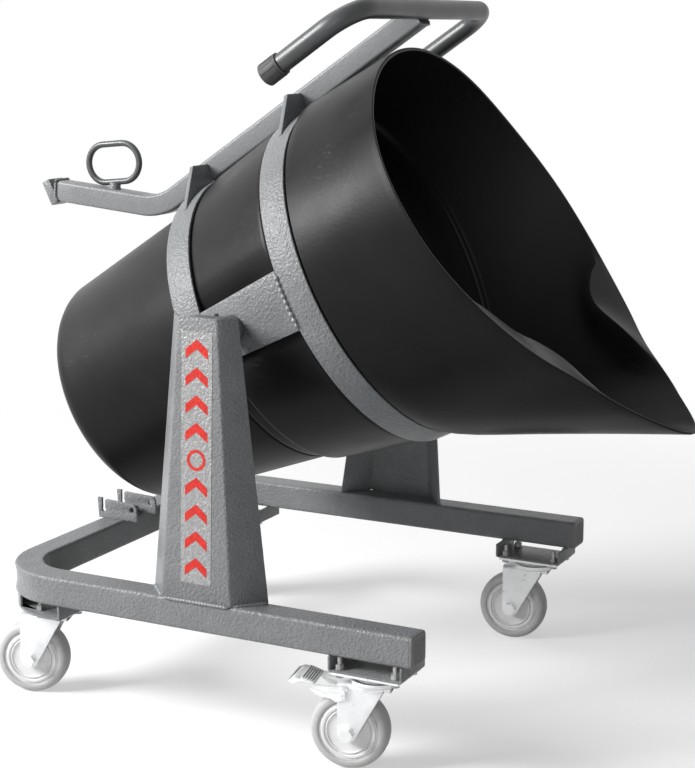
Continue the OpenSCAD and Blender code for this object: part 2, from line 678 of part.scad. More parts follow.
// rings between the hoop and the rim: shares below the crest, then above it
under_t = [0.8, 0.58, 0.42, 0.3, 0.21, 0.13, 0.06, 0];
over_t = [0.66, 0.33, 0];
inner_k = edge_n + len(inner_s) + len(under_t) + len(over_t);
function below_rim(u, p) = let (c = crest_low(p)) u < len(under_t)
  ? c + (rim_pos(p) - fs1 - c) * under_t[u] : c * over_t[u - len(under_t)];
function inner_ring(k) = k <= edge_n
  ? let (a = 90 * k / edge_n, r = tub_round - tub_wall) [for (i = [0:tub_n - 1]) polar(
      -tub_back + tub_wall + r * (1 - cos(a)), tub_r - tub_round + r * sin(a)
      + (body_r(-tub_back + tub_round, 0) - tub_r) * sin(a), 360 * i / tub_n)]
  : k <= edge_n + len(inner_s)
  ? let (s = inner_s[k - edge_n - 1]) [for (i = [0:tub_n - 1]) polar(s, body_r(s, 0) - tub_wall, 360 * i / tub_n)]
  : let (u = k - edge_n - len(inner_s) - 1) [for (i = [0:tub_n - 1]) let (p = 360 * i / tub_n,
      t = below_rim(u, p), s = rim_pos(p) - t) polar(s, body_r(s, p) - tub_wall - fold(t, p), p)];

module tub_shell() {
  n = tub_n;
  pts = concat(
    [for (k = [0:outer_k]) each outer_ring(k)],
    [for (k = [0:inner_k]) each inner_ring(k)],
    [[-tub_back, 0, 0], [-tub_back + tub_wall, 0, 0]]);
  io = (outer_k + 1) * n;
  last = len(pts) - 2;
  function quad(a, b, c, d) = [[a, b, c], [a, c, d]];
  skin = [for (k = [0:outer_k - 1]) for (i = [0:n - 1]) let (j = (i + 1) % n)
    each quad(k * n + i, k * n + j, (k + 1) * n + j, (k + 1) * n + i)];
  bore = [for (k = [0:inner_k - 1]) for (i = [0:n - 1]) let (j = (i + 1) % n)
    each quad(io + k * n + j, io + k * n + i, io + (k + 1) * n + i, io + (k + 1) * n + j)];
  lip = [for (i = [0:n - 1]) let (j = (i + 1) % n)
    each quad(outer_k * n + i, outer_k * n + j, io + inner_k * n + j, io + inner_k * n + i)];
  ends = [for (i = [0:n - 1]) let (j = (i + 1) % n) each [[last, j, i], [last + 1, io + i, io + j]]];
  color(black) in_cradle() difference() {
    polyhedron(points = pts, faces = concat(skin, bore, lip, ends), convexity = 8);
    for (s = [hoop_front_s, hoop_rear_s]) translate([s, 0, 0]) cylinder(r = 4.3, h = r_front + 10, $fn = 24);
  }
}

// rubber strips that fill the hoops behind the tub wall
module liners() {
  color(black) in_cradle() about_axis() {
    difference() {
      rotate_extrude($fn = 180) polygon([[tub_front - 0.7, fs0 + 2], [r_front - hoop_t - seat, fs0 + 2],
        [r_front - hoop_t - seat, fs1 - 2], [tub_front + 0.3, fs1 - 2]]);
      translate([0, 0, hoop_front_s]) rotate([0, -90, 0]) cylinder(r = 4.3, h = r_front + 10, $fn = 32);
    }
    difference() {
      rotate([0, 0, 90 - side_a]) rotate_extrude(angle = 180 + 2 * side_a, $fn = 180) polygon([
        [tub_rear + 0.35, rs0 + 6], [r_rear - hoop_t - seat, rs0 + 6],
        [r_rear - hoop_t - seat, rs1 - 3], [body_r(rs1 - 3, 0) + 0.32, rs1 - 3], [tub_rear + 0.35, groove_s]]);
      translate([0, 0, hoop_rear_s]) rotate([0, -90, 0]) cylinder(r = 4.3, h = r_front + 10, $fn = 32);
    }
  }
}

// height of the spine's underside above the tub axis at station s
function spine_low(s) = r_front + (s - fs0) * tan(spine_a) + seat;

// screws from inside the tub through hoop and spine wall, nuts inside the spine
module tub_screws() {
  color(zinc) in_cradle() for (s = [hoop_front_s, hoop_rear_s]) {
    low = body_r(s - 8, 0) - tub_wall - 0.6;
    nut = spine_low(s) + spine_wall + 1.6;
    translate([s, 0, 0]) {
      translate([0, 0, low - 3.6]) cylinder(r1 = 5, r2 = 8, h = 3.6);
      translate([0, 0, low - 1]) cylinder(r = 4, h = nut + 9 - low);
      translate([0, 0, nut]) hex(13, 6.5);
    }
  }
}

// Trunnions: hub welded to the side plate, shaft pinned in the hub
module hub(side) {
  color(grey) in_cradle() difference() {
    rotate([side * -90, 0, 0]) translate([0, 0, r_side - 8]) difference() {
      cylinder(r = hub_r, h = hub_end - r_side + 8);
      translate([0, 0, -1]) cylinder(r = shaft_d / 2 + fit, h = 100);
    }
    about_axis() translate([0, 0, -60]) cylinder(r1 = r_side - 60 * side_k + seat,
      r2 = r_side + 60 * side_k + seat, h = 120, $fn = 180);
    translate([0, side * pin_y, -50]) cylinder(r = 3.3, h = 100, $fn = 32);
  }
}

module shaft(side) {
  color(zinc) in_cradle() {
    difference() {
      rotate([side * -90, 0, 0]) {
        translate([0, 0, head_y - head_t]) cylinder(r = shaft_d / 2, h = web_y - pillar_t - 2 - head_y + head_t);
        translate([0, 0, head_y - head_t]) cylinder(r = head_r, h = head_t);
      }
      translate([0, side * pin_y, -50]) cylinder(r = 3.05, h = 100, $fn = 32);
    }
  }
}

module cross_pins() {
  color(zinc) in_cradle() for (side = [-1, 1]) translate([0, side * pin_y, 0]) {
    translate([0, 0, -hub_r - 9]) cylinder(r = 3, h = 2 * hub_r + 14, $fn = 32);
    translate([0, 0, hub_r + 0.1]) hex(10, 4);
    translate([0, 0, -hub_r - 5.6]) hex(10, 5.5);
  }
}

base_tube();
plug(-1);  // plug_near
plug(1);  // plug_far
pillar(-1);  // pillar_near
pillar(1);  // pillar_far
front_bracket(-1);  // bracket_fn
front_bracket(1);  // bracket_ff
rear_bracket(-1);  // bracket_rn
rear_bracket(1);  // bracket_rf
catch_plate(-1);  // catch_near
catch_plate(1);  // catch_far
rest_pad();
block(-1);  // block_near
block(1);  // block_far
label(-1);  // label_near
label(1);  // label_far
castor_plate(pin_front_x, -pin_front_y, 0);  // plate_fn
castor_plate(pin_front_x, pin_front_y, 0);  // plate_ff
castor_plate(pin_rear_x, -pin_rear_y, -plate_turn);  // plate_rn
castor_plate(pin_rear_x, pin_rear_y, plate_turn);  // plate_rf
castor_bolts(pin_front_x, -pin_front_y, 0);  // bolts_fn
castor_bolts(pin_front_x, pin_front_y, 0);  // bolts_ff
castor_bolts(pin_rear_x, -pin_rear_y, -plate_turn);  // bolts_rn
castor_bolts(pin_rear_x, pin_rear_y, plate_turn);  // bolts_rf
front_hoop();
rear_hoop();
side_plate(-1);  // side_near
side_plate(1);  // side_far
spine_arm();
arm_foot();
lugs();
handle_tube();
handle_cap(-1);  // cap_near
handle_cap(1);  // cap_far
pull_ring();
tub_shell();
liners();
tub_screws();
hub(-1);  // hub_near
hub(1);  // hub_far
shaft(-1);  // shaft_near
shaft(1);  // shaft_far
cross_pins();
fork(pin_front_x, -pin_front_y, yaw_fn);  // fork_fn
axle(pin_front_x, -pin_front_y, yaw_fn);  // axle_fn
tyre(pin_front_x, -pin_front_y, yaw_fn);  // tyre_fn
wheel_hub(pin_front_x, -pin_front_y, yaw_fn);  // wheel_fn
brake_pedal(pin_front_x, -pin_front_y, yaw_fn);
fork(pin_front_x, pin_front_y, yaw_ff);  // fork_ff
axle(pin_front_x, pin_front_y, yaw_ff);  // axle_ff
tyre(pin_front_x, pin_front_y, yaw_ff);  // tyre_ff
wheel_hub(pin_front_x, pin_front_y, yaw_ff);  // wheel_ff
fork(pin_rear_x, -pin_rear_y, yaw_rn);  // fork_rn
axle(pin_rear_x, -pin_rear_y, yaw_rn);  // axle_rn
tyre(pin_rear_x, -pin_rear_y, yaw_rn);  // tyre_rn
wheel_hub(pin_rear_x, -pin_rear_y, yaw_rn);  // wheel_rn
fork(pin_rear_x, pin_rear_y, yaw_rf);  // fork_rf
axle(pin_rear_x, pin_rear_y, yaw_rf);  // axle_rf
tyre(pin_rear_x, pin_rear_y, yaw_rf);  // tyre_rf
wheel_hub(pin_rear_x, pin_rear_y, yaw_rf);  // wheel_rf
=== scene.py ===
# %% [markdown]
# # Dressing a cement tipping cart
# The cart is a bent square-tube base on four swivel castors. Two folded pillars
# carry a hooped cradle with a black moulded tub and its pouring spout.
# The CAD solids give every size and place. This lesson loads them as a fixed
# frame and then builds the surfaces that the eye reads: smooth bends, folded
# sheet with round corners, weld beads, the soft spout folds and the finishes.

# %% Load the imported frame
import json
import math

import bmesh
import bpy
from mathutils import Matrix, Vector

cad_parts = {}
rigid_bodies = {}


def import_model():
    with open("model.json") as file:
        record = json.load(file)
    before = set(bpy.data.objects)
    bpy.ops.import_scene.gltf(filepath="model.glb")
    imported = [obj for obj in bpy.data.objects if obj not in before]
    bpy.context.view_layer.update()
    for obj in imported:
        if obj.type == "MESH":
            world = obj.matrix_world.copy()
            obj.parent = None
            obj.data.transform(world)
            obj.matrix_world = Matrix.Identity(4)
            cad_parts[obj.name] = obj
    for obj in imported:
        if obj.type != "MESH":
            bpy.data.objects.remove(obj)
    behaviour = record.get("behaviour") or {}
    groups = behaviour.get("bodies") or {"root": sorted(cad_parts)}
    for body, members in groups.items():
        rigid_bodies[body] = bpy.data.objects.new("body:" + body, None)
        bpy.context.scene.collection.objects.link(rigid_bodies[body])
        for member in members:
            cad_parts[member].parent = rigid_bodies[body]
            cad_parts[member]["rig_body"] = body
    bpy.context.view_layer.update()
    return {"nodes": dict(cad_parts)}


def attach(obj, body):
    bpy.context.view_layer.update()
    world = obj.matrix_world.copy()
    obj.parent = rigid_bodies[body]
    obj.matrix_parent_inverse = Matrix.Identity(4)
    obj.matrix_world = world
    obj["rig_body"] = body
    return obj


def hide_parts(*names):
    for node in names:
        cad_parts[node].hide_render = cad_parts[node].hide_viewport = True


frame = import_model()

MM = 0.001

# %% [markdown]
# ## Camera
# The photograph was taken from the front right, a little above the handle.
# The place, aim and focal length were solved from straight edges of known size,
# so the camera is set by numbers and not by eye. With a portrait frame Blender's
# automatic fit measures the sensor along the height, hence the 768 below.

# %% Camera
PHOTO_HEIGHT = 768
FOCAL_PIXELS = 1771.44


def build_camera():
    lens = bpy.data.cameras.new("photo_lens")
    lens.sensor_width = 36
    lens.lens = FOCAL_PIXELS * lens.sensor_width / PHOTO_HEIGHT
    camera = bpy.data.objects.new("photo_camera", lens)
    bpy.context.scene.collection.objects.link(camera)
    camera.location = (1.08413, -2.11068, 0.89738)
    aim = Vector((0.00277, 0, 0.42)) - camera.location
    camera.rotation_euler = aim.to_track_quat("-Z", "Y").to_euler()
    bpy.context.scene.camera = camera
    return camera


camera = build_camera()
print("lens", round(camera.data.lens, 2), "mm")

# %% [markdown]
# ## Node helpers
# Shader trees are easier to read when one line makes one node. `put` adds a node
# and fills its settings and sockets by name; `wire` joins two sockets.

# %% Nodes and values


def put(tree, kind, **settings):
    made = tree.nodes.new("ShaderNode" + kind)
    for key, value in settings.items():
        if key in made.bl_rna.properties:
            setattr(made, key, value)
        else:
            made.inputs[key.replace("_", " ")].default_value = value
    return made


def wire(tree, source, target):
    tree.links.new(source, target)


def number(tree, operation, first, second):
    """A Math node on two inputs, each a socket or a plain number."""
    made = put(tree, "Math", operation=operation)
    for slot_index, value in enumerate((first, second)):
        if isinstance(value, (int, float)):
            made.inputs[slot_index].default_value = value
        else:
            wire(tree, value, made.inputs[slot_index])
    return made.outputs[0]


def ranged(tree, value, low, high, to_low=0.0, to_high=1.0, smooth=False):
    """A Map Range node; every limit is a plain number or a socket."""
    made = put(tree, "MapRange", interpolation_type="SMOOTHSTEP" if smooth else "LINEAR")
    limits = {"Value": value, "From Min": low, "From Max": high,
              "To Min": to_low, "To Max": to_high}
    for label, limit in limits.items():
        if isinstance(limit, (int, float)):
            made.inputs[label].default_value = limit
        else:
            wire(tree, limit, made.inputs[label])
    return made.outputs[0]


print("helpers for nodes:", ", ".join(f.__name__ for f in (put, wire, number, ranged)))

# %% Places, noise and groups


def object_place(tree):
    """Coordinates that stay on the piece when it moves, in metres."""
    return put(tree, "TexCoord").outputs["Object"]


def object_normal(tree):
    """The piece's own normal, which also stays right at every pose."""
    return put(tree, "TexCoord").outputs["Normal"]


def part_of(tree, vector, letter):
    split = put(tree, "SeparateXYZ")
    wire(tree, vector, split.inputs[0])
    return split.outputs[letter]


def noise(tree, place, scale, detail, roughness=0.5):
    made = put(tree, "TexNoise", Detail=detail, Roughness=roughness)
    wire(tree, place, made.inputs["Vector"])
    if isinstance(scale, (int, float)):
        made.inputs["Scale"].default_value = scale
    else:
        wire(tree, scale, made.inputs["Scale"])
    return made.outputs[0]


def new_group(name, inputs, outputs):
    tree = bpy.data.node_groups.new(name, "ShaderNodeTree")
    for label, value in inputs.items():
        kind = "NodeSocketColor" if isinstance(value, tuple) else "NodeSocketFloat"
        socket = tree.interface.new_socket(label, in_out="INPUT", socket_type=kind)
        socket.default_value = value
    for label, kind in outputs.items():
        tree.interface.new_socket(label, in_out="OUTPUT", socket_type="NodeSocket" + kind)
    start = tree.nodes.new("NodeGroupInput")
    end = tree.nodes.new("NodeGroupOutput")
    return tree, start.outputs, end.inputs


print("helpers for textures:", ", ".join(f.__name__ for f in (object_place, noise, new_group)))

# %% [markdown]
# ## Studio
# The photograph is a cut-out on white. A pale floor that fades to white keeps a
# soft shadow under the castors. Three large soft lamps light the cart: a key
# from the upper left, a weak lamp overhead and a low fill in front. The white
# of the background is only for camera, glossy and transmitted rays, so it never
# adds diffuse light to the object.

# %% Studio world
SOFT_LIGHT = 0.12


def seen_directly(tree):
    """1 for rays that should meet a white background."""
    path = put(tree, "LightPath")
    both = number(tree, "MAXIMUM", path.outputs["Is Camera Ray"], path.outputs["Is Glossy Ray"])
    return number(tree, "MAXIMUM", both, path.outputs["Is Transmission Ray"])


def build_world():
    world = bpy.data.worlds.new("white_studio")
    bpy.context.scene.world = world
    world.use_nodes = True
    tree = world.node_tree
    tree.nodes.clear()
    soft = put(tree, "Background", Color=(1, 1, 1, 1), Strength=SOFT_LIGHT)
    white = put(tree, "Background", Color=(1, 1, 1, 1), Strength=1.0)
    choose = put(tree, "MixShader")
    wire(tree, seen_directly(tree), choose.inputs[0])
    wire(tree, soft.outputs[0], choose.inputs[1])
    wire(tree, white.outputs[0], choose.inputs[2])
    wire(tree, choose.outputs[0], put(tree, "OutputWorld").inputs[0])


build_world()
print("soft light of the world:", SOFT_LIGHT)

# %% Studio floor
FLOOR_DARK, FLOOR_PALE = 0.54, 0.58
FLOOR_LIFT = 0.48
FADE_FROM, FADE_TO = 0.7, 2.2
FLOOR_HALF = 6


def floor_material():
    material = bpy.data.materials.new("studio_floor")
    material.use_nodes = True
    tree = material.node_tree
    tree.nodes.clear()
    place = object_place(tree)
    far = put(tree, "VectorMath", operation="LENGTH")
    wire(tree, place, far.inputs[0])
    fade = ranged(tree, far.outputs["Value"], FADE_FROM, FADE_TO, smooth=True)
    tone = put(tree, "ValToRGB")
    for element, value in zip(tone.color_ramp.elements, (FLOOR_DARK, FLOOR_PALE)):
        element.color = (value, value, value, 1)
    wire(tree, noise(tree, place, 40.0, 2.0), tone.inputs[0])
    matt = put(tree, "BsdfDiffuse")
    wire(tree, tone.outputs[0], matt.inputs["Color"])
    lift = put(tree, "Emission")
    seen = seen_directly(tree)
    wire(tree, number(tree, "MULTIPLY", seen, FLOOR_LIFT), lift.inputs["Strength"])
    both = put(tree, "AddShader")
    wire(tree, matt.outputs[0], both.inputs[0])
    wire(tree, lift.outputs[0], both.inputs[1])
    white = put(tree, "Emission", Strength=1.0)
    choose = put(tree, "MixShader")
    wire(tree, number(tree, "MULTIPLY", fade, seen), choose.inputs[0])
    wire(tree, both.outputs[0], choose.inputs[1])
    wire(tree, white.outputs[0], choose.inputs[2])
    wire(tree, choose.outputs[0], put(tree, "OutputMaterial").inputs[0])
    return material


def build_floor():
    mesh = bpy.data.meshes.new("floor")
    signs = ((-1, -1), (1, -1), (1, 1), (-1, 1))
    corners = [(FLOOR_HALF * x, FLOOR_HALF * y, 0) for x, y in signs]
    mesh.from_pydata(corners, [], [(0, 1, 2, 3)])
    mesh.materials.append(floor_material())
    floor = bpy.data.objects.new("floor", mesh)
    bpy.context.scene.collection.objects.link(floor)


build_floor()
print("floor:", 2 * FLOOR_HALF, "m wide, white beyond", FADE_TO, "m")

# %% Studio lamps


def lamp(name, place, aim, size, power):
    data = bpy.data.lights.new(name, "AREA")
    data.shape = "RECTANGLE"
    data.size, data.size_y = size
    data.energy = power
    thing = bpy.data.objects.new(name, data)
    bpy.context.scene.collection.objects.link(thing)
    thing.location = place
    thing.rotation_euler = (Vector(aim) - Vector(place)).to_track_quat("-Z", "Y").to_euler()


lamp("key", (-2.75, -2.3, 2.2), (0, 0, 0.5), (1.6, 1.6), 275)
lamp("overhead", (-1.2, 0.4, 2.8), (0, 0, 0.4), (2.0, 1.6), 11)
lamp("front_fill", (0.9, -3.0, 0.9), (0.1, 0, 0.45), (1.4, 1.4), 15)
bpy.context.scene.view_settings.view_transform = "Standard"
print("lamps:", ", ".join(light.name for light in bpy.data.lights))

# %% [markdown]
# ## Shared surface effects
# Powder coat, rubber and moulded plastic differ in colour and gloss, but each is
# a base colour, a fine relief, a slow change of tone and some traces of use. Some
# also carry painted light: lighter specks for the glints of hammered paint, and a
# lighter tone on the tub's upward faces that is partly dust, partly a painted highlight.
# Every such effect is a node group, made once, with its amounts as inputs.

# %% Relief and tone


def orange_peel_group():
    """Relief of a hammered powder coat: round dimples of one size and finer grain, and a mask of
    lighter specks that paint the coat's glints.
    """
    tree, start, end = new_group("orange_peel", {"Dimple size": 2.2, "Fine share": 0.3},
                                 {"Height": "Float", "Glint fleck": "Float"})
    place = object_place(tree)
    scale = number(tree, "DIVIDE", 1000.0, start["Dimple size"])
    coarse = put(tree, "TexVoronoi", feature="SMOOTH_F1", Smoothness=0.7)
    wire(tree, place, coarse.inputs["Vector"])
    wire(tree, scale, coarse.inputs["Scale"])
    fine = noise(tree, place, number(tree, "MULTIPLY", scale, 4.0), 2.0)
    extra = number(tree, "MULTIPLY", fine, start["Fine share"])
    wire(tree, number(tree, "ADD", coarse.outputs["Distance"], extra), end["Height"])
    wire(tree, ranged(tree, fine, 0.56, 0.72), end["Glint fleck"])
    return tree


def cloud_group():
    """Slow change between two tones."""
    tones = {"Light": (0.5, 0.5, 0.5, 1), "Dark": (0.4, 0.4, 0.4, 1), "Size": 60.0}
    tree, start, end = new_group("cloudy_tone", tones, {"Colour": "Color", "Mask": "Float"})
    scale = number(tree, "DIVIDE", 1000.0, start["Size"])
    spread = ranged(tree, noise(tree, object_place(tree), scale, 4.0, 0.55), 0.32, 0.68)
    mix = put(tree, "Mix", data_type="RGBA")
    wire(tree, spread, mix.inputs["Factor"])
    wire(tree, start["Dark"], mix.inputs[6])
    wire(tree, start["Light"], mix.inputs[7])
    wire(tree, mix.outputs[2], end["Colour"])
    wire(tree, spread, end["Mask"])
    return tree


GROUPS = {"peel": orange_peel_group(), "cloud": cloud_group()}
print("relief and tone:", ", ".join(group.name for group in GROUPS.values()))

# %% Traces of use and a painted highlight


def rub_group():
    """Fine rub marks: long thin streaks of noise that come in patches."""
    tree, start, end = new_group("rub_marks", {"Streak length": 40.0, "Cover": 0.3},
                                 {"Mask": "Float"})
    place = object_place(tree)
    turn = put(tree, "Mapping", Rotation=(0.5, 0.9, 0.4), Scale=(1.0, 14.0, 14.0))
    wire(tree, place, turn.inputs["Vector"])
    scale = number(tree, "DIVIDE", 1000.0, start["Streak length"])
    thin = ranged(tree, noise(tree, turn.outputs[0], scale, 3.0, 0.6), 0.58, 0.74)
    from_value = number(tree, "SUBTRACT", 0.9, start["Cover"])
    patch = ranged(tree, noise(tree, place, 9.0, 1.0), from_value, 0.75)
    wire(tree, number(tree, "MULTIPLY", thin, patch), end["Mask"])
    return tree


def dust_group():
    """Dust that thins out with the height above the floor."""
    tree, start, end = new_group("floor_dust", {"Reach": 0.16, "Amount": 0.25}, {"Mask": "Float"})
    place = object_place(tree)
    low = ranged(tree, part_of(tree, place, "Z"), 0.0, start["Reach"], 1.0, 0.0)
    both = number(tree, "MULTIPLY", low, noise(tree, place, 70.0, 5.0, 0.65))
    wire(tree, number(tree, "MULTIPLY", both, start["Amount"]), end["Mask"])
    return tree


def settled_group():
    """Lighter tone on faces turned upwards, more of it towards the back of the cart: partly settled
    dust, partly a painted highlight.
    """
    tree, _, end = new_group("settled_dust", {}, {"Mask": "Float"})
    upward = ranged(tree, part_of(tree, object_normal(tree), "Z"), -0.35, 0.75, smooth=True)
    place = object_place(tree)
    backward = ranged(tree, part_of(tree, place, "X"), 0.2, -0.35, 0.1, 1.0)
    cloud = noise(tree, place, 22.0, 4.0, 0.6)
    uneven = number(tree, "ADD", number(tree, "MULTIPLY", cloud, 0.5), 0.6)
    both = number(tree, "MULTIPLY", upward, backward)
    wire(tree, number(tree, "MULTIPLY", both, uneven), end["Mask"])
    return tree


GROUPS.update(rub=rub_group(), dust=dust_group(), settled=settled_group())
print("traces of use:", len(GROUPS) - 2, "groups")

# %% [markdown]
# The tub is one closed surface, so its inside is told from its outside by the
# normal: inside faces look at the tub's axis. A film of cement stays on the deep
# faces that look up.

# %% Inside of the tub
TUB_PIVOT = (-0.049, 0, 0.526)
TUB_LEAN = math.radians(26.4)


def inside_group():
    """Mask of faces that look at the tub's axis, and the film on the deep ones."""
    tree, _, end = new_group("tub_inside", {}, {"Mask": "Float", "Film": "Float"})
    place = object_place(tree)
    from_pivot = put(tree, "VectorMath", operation="SUBTRACT")
    wire(tree, place, from_pivot.inputs[0])
    from_pivot.inputs[1].default_value = TUB_PIVOT
    along_axis = put(tree, "VectorMath", operation="PROJECT")
    wire(tree, from_pivot.outputs[0], along_axis.inputs[0])
    along_axis.inputs[1].default_value = (math.cos(TUB_LEAN), 0, math.sin(TUB_LEAN))
    outward = put(tree, "VectorMath", operation="SUBTRACT")
    wire(tree, from_pivot.outputs[0], outward.inputs[0])
    wire(tree, along_axis.outputs[0], outward.inputs[1])
    facing = put(tree, "VectorMath", operation="DOT_PRODUCT")
    normal = object_normal(tree)
    wire(tree, outward.outputs[0], facing.inputs[0])
    wire(tree, normal, facing.inputs[1])
    mask = number(tree, "LESS_THAN", facing.outputs["Value"], -0.01)
    wire(tree, mask, end["Mask"])
    upward = ranged(tree, part_of(tree, normal, "Z"), -0.75, 0.35, smooth=True)
    deep = ranged(tree, part_of(tree, place, "X"), 0.36, 0.17)
    film = number(tree, "MULTIPLY", upward, deep)
    wire(tree, number(tree, "MULTIPLY", film, mask), end["Film"])
    return tree


GROUPS["inside"] = inside_group()
print("effect groups:", ", ".join(GROUPS))

# %% [markdown]
# ## Finishes
# One recipe serves all finishes. The Principled shader stays in each material,
# so the numbers that are the same all over are set on it directly; the groups
# feed it colour, roughness and height.

# %% Finish recipe


def use(tree, group, **values):
    made = tree.nodes.new("ShaderNodeGroup")
    made.node_tree = GROUPS[group]
    for key, value in values.items():
        made.inputs[key.replace("_", " ")].default_value = value
    return made.outputs


def grey(value, blue=0.0):
    return (value * (1 - blue), value, value * (1 + blue), 1)


def blend_colour(tree, factor, base, over):
    mix = put(tree, "Mix", data_type="RGBA")
    wire(tree, factor, mix.inputs["Factor"])
    wire(tree, base, mix.inputs[6])
    mix.inputs[7].default_value = over
    return mix.outputs[2]


DUST_COLOUR = (0.45, 0.43, 0.40, 1)


def make_finish(name, light, dark, tone_size=60.0, rough=(0.35, 0.5), metal=0.0, level=0.5,
                dimple=2.2, relief=0.2, fine=0.3, rub=None, dust=0.2, glint_fleck=None, settled=None,
                inside=None):
    """light and dark are the two tones, dimple and relief are in mm, and rub is
    (streak length in mm, cover, colour). The other extras are colours."""
    material = bpy.data.materials.new(name)
    material.use_nodes = True
    tree = material.node_tree
    shader = tree.nodes["Principled BSDF"]
    shader.inputs["Metallic"].default_value = metal
    shader.inputs["Specular IOR Level"].default_value = level
    tone = use(tree, "cloud", Light=light, Dark=dark, Size=tone_size)
    peel = use(tree, "peel", Dimple_size=dimple, Fine_share=fine)
    colour = tone["Colour"]
    # Lighter specks in the colour: painted glints of the hammered coat.
    if glint_fleck:
        colour = blend_colour(tree, peel["Glint fleck"], colour, glint_fleck)
    # This mask lightens faces turned upwards: partly dust, partly a painted highlight.
    if settled:
        colour = blend_colour(tree, use(tree, "settled")["Mask"], colour, settled)
    if inside:
        lining = use(tree, "inside")
        colour = blend_colour(tree, lining["Mask"], colour, inside[0])
        colour = blend_colour(tree, lining["Film"], colour, inside[1])
    roughness = ranged(tree, tone["Mask"], 0.0, 1.0, *rough)
    if rub:
        marks = use(tree, "rub", Streak_length=rub[0], Cover=rub[1])
        colour = blend_colour(tree, marks["Mask"], colour, rub[2])
        duller = number(tree, "MULTIPLY", marks["Mask"], 0.15)
        roughness = number(tree, "ADD", roughness, duller)
    if dust:
        veil = use(tree, "dust", Amount=dust)
        colour = blend_colour(tree, veil["Mask"], colour, DUST_COLOUR)
    wire(tree, colour, shader.inputs["Base Color"])
    wire(tree, roughness, shader.inputs["Roughness"])
    bump = put(tree, "Bump", Strength=0.6, Distance=relief * MM)
    wire(tree, peel["Height"], bump.inputs["Height"])
    wire(tree, bump.outputs[0], shader.inputs["Normal"])
    return material


print("the recipe draws on", len(GROUPS), "effect groups")

# %% [markdown]
# The frame has a hammered grey powder coat. It reads coarse on flat sheet and
# fine on the drawn tube of the spine, so those are two finishes.

# %% Paint finishes


def named(*finishes):
    return ", ".join(finish.name for finish in finishes)


# The lighter specks of these coats and of the strip are painted glints.
frame_paint = make_finish(
    "frame_paint", grey(0.183, 0.03), grey(0.156, 0.03), 35, (0.28, 0.36), level=0.22,
    dimple=3.4, relief=1.5, glint_fleck=grey(0.36, 0.03), rub=(30, 0.2, grey(0.3)))
tube_paint = make_finish(
    "tube_paint", grey(0.192, 0.03), grey(0.172, 0.03), 35, (0.30, 0.38), level=0.22,
    dimple=3.0, relief=0.4, glint_fleck=grey(0.25, 0.03), rub=(30, 0.2, grey(0.3)))
weld_paint = make_finish(
    "weld_paint", grey(0.26, 0.04), grey(0.17, 0.04), 12, (0.28, 0.4), dimple=1.2, relief=0.3)
handle_paint = make_finish(
    "handle_paint", grey(0.060, 0.04), grey(0.045, 0.04), 50, (0.30, 0.42), dimple=1.3,
    relief=0.12, rub=(30, 0.3, grey(0.14)), dust=0)
print("paint finishes:", named(frame_paint, tube_paint, weld_paint, handle_paint))

# %% Castor, fastener and grip finishes
grip_rubber = make_finish(
    "grip_rubber", grey(0.045), grey(0.03), 20, (0.5, 0.65), dimple=0.8, relief=0.12, dust=0)
zinc = make_finish(
    "zinc", grey(0.88, 0.01), grey(0.80, 0.01), 14, (0.26, 0.40), metal=0.4, dimple=3.5,
    relief=0.05, rub=(18, 0.2, grey(0.62)), dust=0.1)
# Bolts and nuts are darker than the zinc: partly their own steel, partly painted shade of the
# channels and recesses they sit in.
bolt_steel_and_shade = make_finish(
    "bolt_steel_and_shade", grey(0.38), grey(0.22), 6, (0.3, 0.45), metal=0.5, dimple=1.0, relief=0.05,
    dust=0.3)
tyre_grey = make_finish(
    "tyre_grey", grey(0.49), grey(0.42), 16, (0.5, 0.62), dimple=0.9, relief=0.08,
    rub=(14, 0.3, grey(0.5)), dust=0.25)
wheel_grey = make_finish(
    "wheel_grey", grey(0.80), grey(0.72), 20, (0.38, 0.5), dimple=1.2, relief=0.05,
    rub=(12, 0.2, grey(0.55)), dust=0.15)
print("castors and grips:", named(grip_rubber, zinc, bolt_steel_and_shade, tyre_grey, wheel_grey))

# %% Tub, plug, pad and strip finishes
# The tub's lighter tone on upward faces towards the back is partly dust, partly a painted
# highlight.
tub_plastic = make_finish(
    "tub_plastic", grey(0.011), grey(0.008), 90, (0.29, 0.39), level=0.08, dimple=5.5,
    relief=0.12, fine=0.5, rub=(60, 0.34, grey(0.045)), dust=0, settled=grey(0.034),
    inside=(grey(0.013), grey(0.075)))
plug_plastic = make_finish(
    "plug_plastic", grey(0.18), grey(0.13), 20, (0.42, 0.55), dimple=0.8, relief=0.08)
pad_rubber = make_finish(
    "pad_rubber", grey(0.03), grey(0.018), 20, (0.6, 0.7), dimple=1.5, relief=0.15)
label_vinyl = make_finish(
    "label_vinyl", grey(0.30), grey(0.23), 7, (0.30, 0.42), metal=0.3, dimple=3.0,
    relief=1.5, glint_fleck=grey(0.50), dust=0)
mark_red = make_finish(
    "mark_red", (0.60, 0.035, 0.025, 1), (0.44, 0.025, 0.02, 1), 6, (0.42, 0.54), level=0.2,
    dimple=2.4, relief=0.8, dust=0)
print("tub and strips:", named(tub_plastic, plug_plastic, pad_rubber, label_vinyl, mark_red))

# %% [markdown]
# ## Mesh helpers
# Nearly all pieces are lofts: a row of rings with the same number of points,
# joined by quads. A bent tube, a turned wheel and a folded sheet differ only in
# how their rings are placed.

# %% Objects from meshes


def finish_object(name, mesh, finish, body, slot_name, sharp=38):
    for face in mesh.polygons:
        face.use_smooth = True
    mesh.set_sharp_from_angle(angle=math.radians(sharp))
    mesh.materials.append(finish)
    thing = bpy.data.objects.new(name, mesh)
    bpy.context.scene.collection.objects.link(thing)
    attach(thing, body)
    return thing


